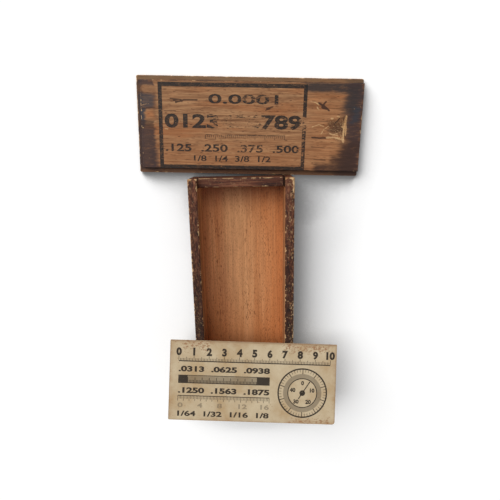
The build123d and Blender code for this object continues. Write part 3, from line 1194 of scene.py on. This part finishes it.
    def brads(self, node: str, along: Axis, material: bpy.types.Material) -> None:
        """Builds a node's brads: round wire with flat heads and tapered points.

        Args:
            node: The node of brads that they stand for.
            along: Direction that they point in.
            material: Their finish.
        """
        low, high = self.corners(node)
        length = high.z - low.z if along is Axis.Z else self.brad_length
        face, head, shank, point = 0.95, 1.17, 0.58, 0.12  # the wire's radii from the head to the point
        stations = [(0.15, head), (0.6, head), (0.6, shank), (length - 2, shank), (length, point)]
        stock = Stock()
        for place in self.brad_places(node, along):
            inwards = Vector((0, 0, 1)) if along is Axis.Z else Vector((-math.copysign(1, place[0]), 0, 0))
            turn = inwards.to_track_quat("Z", "Y").to_matrix().to_4x4()
            made = bmesh.ops.create_circle(stock.mesh, cap_ends=True, segments=16, radius=face,
                                           matrix=Matrix.Translation(place) @ turn)
            ring, start = rim_of(made), 0.0
            middle = Vector(place)
            for depth, radius in stations:
                grown = bmesh.ops.extrude_edge_only(stock.mesh, edges=ring)
                verts = made_points(grown)
                ring = [item for item in grown["geom"] if isinstance(item, bmesh.types.BMEdge)
                        and all(vert in verts for vert in item.verts)]
                middle += inwards * (depth - start)
                start = depth
                for vert in verts:
                    out = vert.co - middle
                    out -= inwards * out.dot(inwards)
                    vert.co = middle + out.normalized() * radius
            bmesh.ops.contextual_create(stock.mesh, geom=ring)
        stock.face_outwards()
        seat(stock.finish(node + "_iron", material), "box", self.brad_slot, node)

    def build(self) -> None:
        """Builds every piece of the box."""
        self.side_wall("side_wall_left", -1, 11.0)
        self.side_wall("side_wall_right", 1, 23.0)
        self.end_wall("head_wall", 57.0)
        self.end_wall("foot_wall", 71.0)
        self.floor_board()
        iron = DullIron().material("dull_iron_finish")
        self.brads("head_corner_brads", Axis.X, iron)
        self.brads("foot_corner_brads", Axis.X, iron)
        self.brads("floor_brads", Axis.Z, iron)


# ---- Lettering: numerals and rules, drawn flat ----


@dataclass
class Drawing:
    """A flat drawing on a surface, in millimetres, with each stroke as geometry."""

    stock: Stock = field(default_factory=Stock)

    def stroke(self, middle: Spot, size: Spot, base: Matrix = Matrix.Identity(4)) -> None:
        """Draws a filled rectangle of a size about its middle, in a base's frame."""
        matrix = base @ Matrix.Translation((*middle, 0)) @ Matrix.Diagonal((*size, 1, 1))
        bmesh.ops.create_grid(self.stock.mesh, x_segments=1, y_segments=1, size=0.5, matrix=matrix)

    def bar(self, left: float, low: float, right: float, high: float) -> None:
        """Draws a filled rectangle between its sides."""
        self.stroke(((left + right) / 2, (low + high) / 2), (right - left, high - low))

    def marks(self, left: float, pitch: float, count: int, width: float, base: float,
              *reaches: tuple[int, float]) -> None:
        """Draws the marks of a scale.

        Args:
            left: Middle of the first mark.
            pitch: Distance between marks.
            count: How many there are.
            width: Width of a mark.
            base: Height that they start from.
            *reaches: Lengths upwards or, below 0, downwards, each after a number: a mark gets the first
                length whose number divides its own.
        """
        for mark in range(count):
            end = base + next(reach for every, reach in reaches if mark % every == 0)
            middle = left + mark * pitch
            self.bar(middle - width / 2, min(base, end), middle + width / 2, max(base, end))

    def ring(self, centre: Spot, inner: float, outer: float, segments: int) -> None:
        """Draws a ring, or a disc where inner is 0.

        Args:
            centre: Its middle.
            inner: Inner radius.
            outer: Outer radius.
            segments: Sides of the circle.
        """
        middle = Vector((*centre, 0))
        made = bmesh.ops.create_circle(self.stock.mesh, cap_ends=inner <= 0, segments=segments, radius=outer,
                                       matrix=Matrix.Translation(middle))
        if inner > 0:
            grown = bmesh.ops.extrude_edge_only(self.stock.mesh, edges=rim_of(made))
            for vert in made_points(grown):
                vert.co = middle + (vert.co - middle).normalized() * inner

    def spoke(self, centre: Spot, angle: float, start: float, end: float, width: float) -> None:
        """Draws a stroke between two distances from a centre, at an angle in degrees."""
        turn = Matrix.Translation((*centre, 0)) @ Matrix.Rotation(math.radians(angle), 4, "Z")
        self.stroke(((start + end) / 2, 0), (end - start, width), turn)

    def figures(self, text: str, at: Spot, height: float, bold: float, width: float = 0.0,
                centred: bool = True) -> None:
        """Writes plain figures.

        Args:
            text: The figures.
            at: Middle of their base line, or its left end where they aren't centred.
            height: Height of a figure.
            bold: How far each outline is thickened, as a share of the height.
            width: Length that the whole line is fitted to, or 0 to leave it.
            centred: Whether the line is centred on its place.
        """
        curve = bpy.data.curves.new("figures", "FONT")
        curve.body = text
        curve.size = 1.0
        curve.offset = bold
        curve.resolution_u = 4
        holder = linked(bpy.data.objects.new("figures", curve))
        bpy.context.view_layer.update()
        flat = bpy.data.meshes.new_from_object(holder.evaluated_get(bpy.context.evaluated_depsgraph_get()))
        bpy.data.objects.remove(holder)
        bpy.data.curves.remove(curve)
        (left, right), (low, high) = (span((vert.co for vert in flat.vertices), axis) for axis in (0, 1))
        rise = height / (high - min(0.0, low))
        run = width / (right - left) if width else rise
        start = (left + right) / 2 if centred else left
        flat.transform(Matrix.Translation((*at, 0)) @ Matrix.Diagonal((run, rise, 1, 1))
                       @ Matrix.Translation((-start, 0, 0)))
        self.stock.mesh.from_mesh(flat)
        bpy.data.meshes.remove(flat)

    def lay(self, matrix: Matrix, cell: float = 12.0) -> Stock:
        """Lays the drawing on its surface.

        Args:
            matrix: The surface's place, with lengths in millimetres.
            cell: Greatest size of a face.

        Returns:
            The drawing as a piece of stock, facing out of the surface.
        """
        for face in self.stock.mesh.faces:
            if face.normal.z < 0:
                face.normal_flip()
        for axis in (Axis.X, Axis.Y):
            low, high = span((vert.co for vert in self.stock.mesh.verts), axis.value)
            self.stock.cut(axis, *(low + step * cell for step in range(1, math.ceil((high - low) / cell))))
        self.stock.place(matrix)
        return self.stock


# ---- The lid ----


@dataclass
class Lid:
    """The sliding lid, in its own frame: X along it to the head end, Y across it, Z up. In millimetres."""

    turn: float = 2.05
    length: float = 149.4
    width: float = 62.5
    thickness: float = 6.35
    tongue: float = 3.0
    side_tongue: float = 3.15
    end_tongue: float = 3.05
    corner: float = 1.1
    arris: float = 0.5
    notch_from_end: float = 10.5
    notch_length: float = 16.0
    notch_width: float = 15.8
    notch_depth: float = 2.2
    spacing: float = 0.5
    ink_rise: float = 0.012
    border_left: float = -60.0
    border_right: float = 37.9
    border_top: float = 26.8
    border_foot: float = -27.95
    border_line: float = 2.6
    slot: str = "worn_lid_wood"

    def __post_init__(self) -> None:
        """Takes the lid's place from the frame, and works out where its parts lie."""
        low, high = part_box("lid")
        middle = (low + high) / 2 / MM
        origin, turn = (middle.x, middle.y, 0.0), -math.radians(self.turn)
        self.matrix = Matrix.Translation(origin) @ Matrix.Rotation(turn, 4, "Z")
        self.wood = LidWood(origin, turn)
        self.end, self.side = self.length / 2, self.width / 2
        self.panel_side = self.side - self.side_tongue
        self.panel_foot = self.end_tongue - self.end
        self.notch_wall = self.end - self.notch_from_end

    def gouged(self, x: float, y: float) -> float:
        """Depth of the thumb notch, a slanting cylinder that ends at a steep wall.

        Args:
            x: Place along the lid.
            y: Place across it.

        Returns:
            The depth below the face, or 0 outside the notch.
        """
        half = self.notch_width / 2
        gouge = (half ** 2 + self.notch_depth ** 2) / (2 * self.notch_depth)
        back = self.notch_wall - x
        if back < 0 or abs(y) >= gouge:
            return 0.0
        hollow = self.notch_depth - (gouge - math.sqrt(gouge ** 2 - y ** 2))
        return max(0.0, hollow - back * self.notch_depth / self.notch_length)

    def board(self) -> None:
        """Builds the lid's board with its tongues and its thumb notch."""
        end, side, panel, foot, top, tongue = (self.end, self.side, self.panel_side, self.panel_foot,
                                               self.thickness, self.tongue)
        outline = [(-side, 0), (side, 0), (side, tongue), (panel, tongue), (panel, top), (-panel, top),
                   (-panel, tongue), (-side, tongue)]
        stock = Stock.prism(outline, Axis.X, foot, end)
        stock.cut(Axis.Z, tongue)
        below = [face for face in stock.mesh.faces
                 if face.normal.x < -0.9 and face.calc_center_median().z < tongue]
        grown = bmesh.ops.extrude_face_region(stock.mesh, geom=below)
        bmesh.ops.translate(stock.mesh, verts=made_points(grown), vec=(-self.end_tongue, 0, 0))
        bmesh.ops.delete(stock.mesh, geom=[face for face in below if face.is_valid], context="FACES_ONLY")
        bmesh.ops.dissolve_limit(stock.mesh, angle_limit=0.01, verts=stock.mesh.verts, edges=stock.mesh.edges)
        stock.face_outwards()
        stock.cut(Axis.X, foot)
        stock.cut(Axis.Y, -panel, panel)

        def upright(a: Vector, b: Vector) -> bool:
            """The lid's four upright corners."""
            return abs(a.z - b.z) > 1 and max(abs(abs(a.x) - end), abs(abs(a.y) - side)) < NEAR

        stock.round_edges(upright, self.corner, 4)
        stock.round_edges(lambda a, b: min(a.z, b.z) > top - NEAR, self.arris, 3)
        corner, arris = self.corner + 0.05, self.arris + 0.05
        stock.cut(Axis.X, corner - end, foot + arris, end - corner, end - arris)
        stock.cut(Axis.Y, corner - side, arris - panel, panel - arris, side - corner)
        for axis, spacing in ((Axis.X, self.spacing), (Axis.Y, self.spacing), (Axis.Z, 0.6)):
            stock.divide(axis, spacing)
        stock.cut(Axis.X, self.notch_wall, self.notch_wall + 0.2)
        self.carve(stock)
        stock.score(self.strokes(), top - self.notch_depth - 1)
        stock.weather(self.arrises())
        stock.place(self.matrix)
        seat(stock.finish("lid_wood", self.wood.material("lid_finish")), "lid", self.slot, "lid")

    def carve(self, stock: Stock) -> None:
        """Gouges the thumb notch, with the marks of the tool.

        Args:
            stock: The lid's board.
        """
        bare = stock.attribute("bare")
        for vert in stock.mesh.verts:
            depth = self.gouged(vert.co.x, vert.co.y)
            if depth > 0 and vert.co.z >= self.thickness - NEAR:
                torn = random_at(vert.co.x * 0.35, vert.co.y * 1.1, 2.2)
                worked = ease(depth, 0.0, 0.5)
                vert.co.z -= max(0.0, depth + 0.28 * torn * worked)
                vert[bare] = 0.5 * clamp(0.1 + 1.2 * torn) * worked

    def strokes(self) -> list[Stroke]:
        """The scratches and cracks on the lid's face.

        Returns:
            The strokes, written here as rows of a width, a strength and points.
        """
        scratches = (
            (1.1, 0.95, (64.0, 7.1), (63.8, 3.0), (63.5, -2.0), (63.1, -8.2)),
            (0.9, 0.6, (62.6, 4.0), (62.4, 0.5)),
            (1.2, 0.9, (62.4, -6.4), (63.3, -9.0)),
            (0.5, 0.75, (41.9, 0.4), (46.4, 2.0), (49.8, 0.8)),
            (0.5, 0.7, (48.1, -4.0), (49.9, -0.8), (53.1, 1.2)),
            (0.8, 0.75, (54.1, -3.9), (59.5, -4.8)),
            (0.5, 0.5, (57.9, -2.4), (57.0, -3.6)),
            (0.6, 0.5, (59.6, 1.4), (60.6, 0.6)),
            (0.6, 0.5, (56.4, 3.8), (56.9, 3.2)),
            (0.6, 0.6, (60.4, -2.6), (61.4, -3.0)),
            (0.8, 0.95, (52.0, -6.3), (57.0, -6.0), (61.5, -7.2)),
            (0.9, 0.6, (58.0, 7.6), (60.0, 6.8)),
            (0.9, 0.95, (54.5, 6.0), (55.2, 6.0)),
            (0.4, 0.55, (31.4, 10.3), (33.2, 14.1), (37.1, 16.0)),
            (0.5, 0.7, (39.7, 16.6), (43.2, 15.9), (45.7, 14.3)),
            (0.6, 0.7, (44.5, 13.0), (45.9, 11.2)),
            (0.4, 0.4, (69.4, -1.9), (70.4, -1.6), (72.6, -1.2)),
            (0.5, 0.5, (68.7, 12.7), (69.1, 12.2)),
            (0.4, 0.45, (73.0, 14.2), (73.2, 12.6)),
            (0.5, 0.6, (-72.1, 11.6), (-69.4, 12.8), (-66.1, 13.2)),
            (0.6, 0.6, (-71.8, -1.6), (-70.2, -2.1)),
            (0.4, 0.35, (-68.0, -21.0), (-65.5, -23.0)),
            (0.5, 0.4, (-63.0, -20.0), (-62.0, -22.5)),
            (0.6, 0.7, (-6.0, -26.3), (-3.6, -27.4)),
            (0.9, 0.7, (-55.9, -2.3), (-54.2, -2.6)),
            (0.4, 0.42, (-53.0, -27.2), (20.0, -27.9)),
        )
        cracks = (
            (0.8, 0.95, (45.6, 15.5), (49.0, 13.7), (52.5, 11.0)),
            (0.7, 0.9, (50.2, 16.4), (48.6, 14.4), (47.7, 12.9)),
            (1.4, 0.75, (48.4, 12.6), (51.0, 12.0)),
            (0.6, 0.7, (56.6, 2.6), (58.4, 4.2), (59.8, 6.0)),
            (0.7, 0.85, (42.2, -6.3), (47.0, -6.7), (51.6, -6.5)),
            (0.6, 0.45, (51.0, -1.2), (55.5, -1.6)),
            (0.6, 0.4, (55.0, -2.6), (59.0, -2.4)),
            (0.5, 0.7, (-52.1, 16.7), (-48.0, 16.3), (-44.9, 16.1)),
            (0.6, 0.8, (-48.6, 14.3), (-45.5, 15.2), (-42.9, 16.0), (-34.4, 16.1)),
            (0.4, 0.6, (-50.0, 15.4), (-44.0, 14.9)),
            (0.4, 0.55, (-56.3, 9.1), (-52.0, 9.3), (-48.4, 8.9)),
            (0.7, 0.7, (11.5, 11.4), (15.4, 12.6)),
            (0.4, 0.6, (10.6, 10.3), (13.8, 11.2)),
            (0.4, 0.5, (-30.0, -0.9), (-21.0, -1.1)),
            (0.5, 0.5, (-14.0, -0.7), (-2.0, -0.4)),
            (0.4, 0.5, (40.0, 3.6), (52.0, 4.0)),
            (0.4, 0.5, (42.0, -12.4), (51.0, -13.0)),
            (0.5, 0.55, (44.0, -20.6), (52.0, -20.9)),
        )
        return [Stroke(tuple(points), width, strength, mark)
                for mark, rows in ((Mark.SCRATCH, scratches), (Mark.CRACK, cracks))
                for width, strength, *points in rows]

    def arrises(self) -> list[Arris]:
        """The lid's handled edges.

        Returns:
            The edges, and how far each is worn.
        """
        end, side, panel, foot, top, tongue = (self.end, self.side, self.panel_side, self.panel_foot,
                                               self.thickness, self.tongue)
        back, wall, lip = (1, 0, -1), self.notch_wall + 0.1, self.notch_width / 2 - 0.4
        edges = [Arris((end, -side, top), (end, side, top), (-1, 0, -1), 0.8, 0.15, 3.0),
                 Arris((end, -side, 0), (end, side, 0), (-1, 0, 1), 0.6, 0.5, 4.0),
                 Arris((-end, -side, tongue), (-end, side, tongue), back, 0.5, 0.5, 5.0),
                 Arris((foot, -panel, top), (foot, panel, top), back, 0.7, 0.3, 6.0),
                 Arris((wall, -lip, top), (wall, lip, top), back, 0.5, 0.7, 9.0)]
        for way in (-1, 1):
            y_panel, y_side, down = way * panel, way * side, (0, -way, -1)
            edges += [
                Arris((foot, y_panel, top), (end, y_panel, top), down, 0.5, 0.06, 7.0 + way),
                Arris((-end, y_side, tongue), (end, y_side, tongue), down, 0.5, 0.3 + 0.15 * way, 12.0 + way),
                Arris((-end, y_side, 0), (end, y_side, 0), (0, -way, 1), 0.4, 0.5, 15.0 + way)]
        return edges

    def stencil(self) -> None:
        """Stencils the border and rows of plain figures on the face."""
        border, figures = Drawing(), Drawing()
        left, right, line = self.border_left, self.border_right, self.border_line
        low, high = self.border_foot + line * 0.9, self.border_top - line
        border.bar(left, high, right, self.border_top)
        border.bar(left, self.border_foot, right, low)
        border.bar(left, low, left + line, high)
        border.bar(right - line * 0.95, low, right, high)
        for text, at, height, bold, width in (
                ("0.0001", (-4.0, 14.2), 6.0, 0.02, 46.0), ("0123456789", (-10.6, -1.2), 9.4, 0.035, 91.0),
                (".125  .250  .375  .500", (-11.0, -16.6), 5.0, 0.025, 90.0),
                ("1/8  1/4  3/8  1/2", (-11.0, -23.0), 3.9, 0.02, 52.0)):
            figures.figures(text, at, height, bold, width)
        scale_left, scale_right, base, spaces = -29.0, 24.0, -5.9, 40
        figures.bar(scale_left, base, scale_right, base + 0.4)
        figures.marks(scale_left, (scale_right - scale_left) / spaces, spaces + 1, 0.32, base,
                      (5, -2.6), (1, -1.5))
        inked = self.wood.material("lid_stencil_finish", Ink.STENCIL)
        face = self.matrix @ Matrix.Translation((0, 0, self.thickness + self.ink_rise))
        for drawing, name in ((border, "lid_stencil_border"), (figures, "lid_stencil_figures")):
            seat(drawing.lay(face).finish(name, inked), "lid", self.slot)

    def build(self) -> None:
        """Builds the lid and what is stencilled on it."""
        self.board()
        self.stencil()


# ---- The leaflet ----


@dataclass
class Leaflet:
    """The folded leaflet, in the frame of its fold: X along the fold, Y away from it, Z out of the leaf."""

    length: float = 116.5
    width: float = 55.6
    thickness: float = 0.4
    fold_gap: float = 0.15
    opening: float = 13.7
    cell: float = 1.5
    ink_rise: float = 0.012
    print_left: float = -52.0
    slot: str = "aged_paper"

    def __post_init__(self) -> None:
        """Takes the fold's place and direction from the frame."""
        fold = next(joint for joint in frame["joints"] if joint["name"] == "leaflet_fold")
        origin = tuple(part / MM for part in fold["pos_m"])
        turn = math.atan2(-fold["axis"][1], -fold["axis"][0])
        self.flat = Matrix.Translation(origin) @ Matrix.Rotation(turn, 4, "Z")
        self.raised = self.flat @ Matrix.Rotation(-math.radians(self.opening), 4, "X")
        self.paper = AgedPaper(origin, turn, self.length, self.width)

    def leaf(self, name: str, matrix: Matrix, lift: float, body: str, node: str) -> None:
        """Builds one leaf.

        Args:
            name: The piece's name.
            matrix: The leaf's place.
            lift: Height of its lower face in the fold's frame.
            body: The body that it rides on.
            node: The node that it stands for.
        """
        half = self.length / 2
        outline = [(-half, -self.width), (half, -self.width), (half, 0), (-half, 0)]
        stock = Stock.prism(outline, Axis.Z, lift, lift + self.thickness)
        for side, radius in ((1, 1.8), (-1, 0.7)):  # the thumbed corner is rounder than the other
            stock.round_edges(lambda a, b: abs(a.z - b.z) > 0.1 and a.y < -1 and a.x * side > 0, radius, 3)
        for axis, start, end in ((Axis.X, -half, half), (Axis.Y, -self.width, 0.0)):
            steps = round((end - start) / self.cell)
            stock.cut(axis, *(start + step * (end - start) / steps for step in range(1, steps)))
        stock.place(matrix)
        seat(stock.finish(name, self.paper.material(name + "_finish")), body, self.slot, node)

    def crease(self) -> None:
        """Builds the rolled paper of the fold, round the line that the leaves turn about."""
        stock = Stock()
        radius = 0.8 * (self.thickness + self.fold_gap / 2)
        along = self.flat @ Matrix.Rotation(math.pi / 2, 4, "Y")
        bmesh.ops.create_cone(stock.mesh, cap_ends=True, segments=16, radius1=radius, radius2=radius,
                              depth=self.length - 0.6, matrix=along)
        piece = stock.finish("leaflet_crease", self.paper.material("leaflet_crease_finish"))
        seat(piece, "leaflet", self.slot)

    def print_front(self) -> None:
        """Prints the front leaf: a rule with figures, a plain dial and rows of decimals."""
        heavy, light = Drawing(), Drawing()
        self.rule(heavy)
        self.dial(heavy, light)
        self.rows(heavy, light)
        for drawing, name, ink, layers in ((heavy, "leaflet_print", Ink.PRINT, 2),
                                           (light, "leaflet_print_tint", Ink.TINT, 1)):
            face = self.raised @ Matrix.Translation((0, 0, self.thickness + layers * self.ink_rise))
            piece = drawing.lay(face).finish(name, self.paper.material(name + "_finish", ink))
            seat(piece, "leaflet_cover", self.slot)

    def rule(self, heavy: Drawing) -> None:
        """Draws a graduated rule along the top of the page.

        Args:
            heavy: The drawing in full ink.
        """
        left, right, base = self.print_left, 54.0, -14.6
        spaces, line = 100, 0.7
        pitch = (right - left) / spaces
        heavy.bar(left, base, right, base + line)
        heavy.marks(left, pitch, spaces + 1, 0.34, base + line, (10, 3.2), (5, 2.5), (1, 1.7))
        for number in range(11):
            heavy.figures(str(number), (left + 10 * number * pitch, base + 4.6), 5.6, 0.055)

    def dial(self, heavy: Drawing, light: Drawing) -> None:
        """Draws a plain dial on the right of the page.

        Args:
            heavy: The drawing in full ink.
            light: The drawing in pale ink.
        """
        centre = x, y = (35.0, -34.2)
        for drawing, inner, outer, segments in ((heavy, 16.4, 17.4, 64), (light, 10.4, 13.4, 64),
                                                (heavy, 9.8, 10.4, 64), (heavy, 0.0, 2.0, 32)):
            drawing.ring(centre, inner, outer, segments)
        for step in range(50):
            start, width = (14.6, 0.28) if step % 5 else (13.2, 0.5)
            heavy.spoke(centre, 90 - step * 7.2, start, 16.5, width)
        for step in range(5):
            angle = math.radians(90 - step * 72)
            at = (x + 7.2 * math.cos(angle), y + 7.2 * math.sin(angle) - 1.5)
            heavy.figures(str(step * 10), at, 3.0, 0.05)
        heavy.spoke(centre, 57.6, -5.0, 9.6, 0.7)

    def rows(self, heavy: Drawing, light: Drawing) -> None:
        """Writes rows of decimals and a graduated bar on the left of the page.

        Args:
            heavy: The drawing in full ink.
            light: The drawing in pale ink.
        """
        left, right = self.print_left, 12.0
        width = right - left
        for drawing, text, base, height, bold in (
                (heavy, ".0313  .0625  .0938", -21.4, 4.2, 0.045),
                (heavy, ".1250  .1563  .1875", -36.4, 4.2, 0.045),
                (light, "0     4     8     12    16", -46.6, 3.4, 0.03),
                (heavy, "1/64  1/32  1/16  1/8", -52.6, 3.8, 0.035)):
            drawing.figures(text, (left, base), height, bold, width, centred=False)
        low, high, cap = -29.2, -24.4, 6.5
        light.bar(left, -29.4, right, -24.0)
        heavy.bar(left, high, right, -24.0)
        heavy.bar(left, -29.8, right, low)
        heavy.bar(left, low, left + cap, high)
        heavy.bar(right - 9.0, low, right, high)
        heavy.marks(left + cap + 0.21, 1.0, 49, 0.42, low, (5, 3.6), (1, 1.8))
        base, spaces = -38.7, 64
        heavy.bar(left, base, right, base + 0.5)
        heavy.marks(left, width / spaces, spaces + 1, 0.3, base, (4, -3.5), (1, -2.1))

    def build(self) -> None:
        """Builds both leaves, the fold between them and the print."""
        below = -self.fold_gap - self.thickness
        self.leaf("leaflet_back_paper", self.flat, below, "leaflet", "leaflet_back_leaf")
        self.leaf("leaflet_front_paper", self.raised, 0.0, "leaflet_cover", "leaflet_front_leaf")
        self.crease()
        self.print_front()


# ---- The studio ----


@dataclass(frozen=True)
class Shade:
    """Soft shade that what stands near throws on the floor."""

    reach: float  # how far away it is still felt, in millimetres
    closed: float  # openness of a place that lies wholly in the shade
    clear: float  # openness of a place that lies out of it
    depth: float  # share of the light that it takes
    towards: Point | None = None  # side that it is felt from, or None for all sides
    rays: int = 24  # samples of the openness, enough to leave no grain

    def openness(self, r: Recipe) -> Socket:
        """How open each place of the floor is.

        Args:
            r: The floor's recipe.

        Returns:
            1 where nothing stands near, and less elsewhere.
        """
        inputs = {"Distance": self.reach * MM}
        if self.towards:
            inputs["Normal"] = r.join(*Vector(self.towards).normalized())
        return r.node("AmbientOcclusion", inputs, samples=self.rays).outputs["AO"]

    def light(self, r: Recipe) -> Socket:
        """Share of the light that is left at each place."""
        return r.remap(self.openness(r), self.closed, self.clear, 1 - self.depth, 1)


@dataclass
class Studio:
    """A pale floor, soft light from the upper left and a camera nearly overhead. Lengths in millimetres."""

    floor_size: float = 6000.0
    floor_drop: float = 0.02  # so that the floor doesn't touch the box
    floor_glow: float = 0.1
    camera_place: Point = (8.10, 93.0, 284.44)
    pitch: float = 0.2427
    yaw: float = -0.0118
    roll: float = -0.0183
    lens: float = 28.8
    sensor: float = 36.0
    towards_light: Point = (-0.7, 0.72, 1.0)
    light_angle: float = 62.0
    light_strength: float = 2.7
    sky_strength: float = 0.336
    crevice: Shade = Shade(7.0, 0.3, 0.62, 0.6, None, 12)
    contact: Shade = Shade(60.0, 0.796, 0.9, 0.21, (-0.42, 0.9, 0.105))
    skirt: Shade = Shade(36.0, 0.653, 0.83, 0.79, (-0.257, 0.961, 0.105))

    def floor(self) -> None:
        """Lays the floor just under the box."""
        stock = Stock()
        bmesh.ops.create_grid(stock.mesh, x_segments=1, y_segments=1, size=self.floor_size / 2,
                              matrix=Matrix.Translation((0, 0, -self.floor_drop)))
        r = Recipe(bpy.data.materials.new("floor_finish"))
        seen = r.seen()
        paper = r.clouds(r.place(), (0.01,), detail=2)
        base = r.ramp(paper, (0.0, rgb(236, 236, 236)), (1.0, rgb(240, 240, 240)))
        lit = r.times(self.contact.light(r), self.crevice.light(r), self.skirt.light(r))
        diffuse = r.new("BsdfDiffuse", {"Color": r.mix(seen, base, r.join(lit, lit, lit))})
        glow = r.times(seen, r.between(self.crevice.openness(r), 0.12, 0.42), self.floor_glow)
        emission = r.new("Emission", {"Color": rgb(255, 255, 255), "Strength": glow})
        r.node("OutputMaterial", {"Surface": r.new("AddShader", {0: diffuse, 1: emission})})
        stock.finish("floor", r.owner)

    def light(self) -> None:
        """Lights the piece with a broad lamp and a pale surround."""
        lamp = bpy.data.lights.new("window", "SUN")
        lamp.energy = self.light_strength
        lamp.angle = math.radians(self.light_angle)
        holder = linked(bpy.data.objects.new("window", lamp))
        holder.rotation_mode = "QUATERNION"
        holder.rotation_quaternion = Vector(self.towards_light).to_track_quat("Z", "Y")
        world = bpy.data.worlds.new("surround")
        bpy.context.scene.world = world
        r = Recipe(world)
        strength = r.remap(r.seen(), 0, 1, self.sky_strength, 1.0)
        surround = r.new("Background", {"Color": (1, 1, 1, 1), "Strength": strength})
        r.node("OutputWorld", {"Surface": surround})

    def camera(self) -> None:
        """Stands the camera where it looks down on the case."""
        forward = Vector((math.sin(self.yaw), -math.sin(self.pitch),
                          -math.cos(self.pitch) * math.cos(self.yaw))).normalized()
        right = forward.cross(Vector((0, 1, 0))).normalized()
        up = right.cross(forward)
        turned = right * math.cos(self.roll) + up * math.sin(self.roll)
        upward = up * math.cos(self.roll) - right * math.sin(self.roll)
        matrix = Matrix((turned, upward, -forward)).transposed().to_4x4()
        matrix.translation = Vector(self.camera_place) * MM
        data = bpy.data.cameras.new("camera")
        data.lens = self.lens
        data.sensor_width = self.sensor
        data.clip_start = 0.01
        camera = linked(bpy.data.objects.new("camera", data))
        camera.matrix_world = matrix
        bpy.context.scene.camera = camera

    def build(self) -> None:
        """Sets the studio up."""
        self.camera()
        self.floor()
        self.light()
        bpy.context.scene.view_settings.view_transform = "Standard"


def main() -> None:
    """Builds the case and its studio."""
    logging.basicConfig(level=logging.INFO, format="%(name)s: %(message)s")
    Studio().build()
    Box().build()
    Lid().build()
    Leaflet().build()


if __name__ == "__main__":
    main()
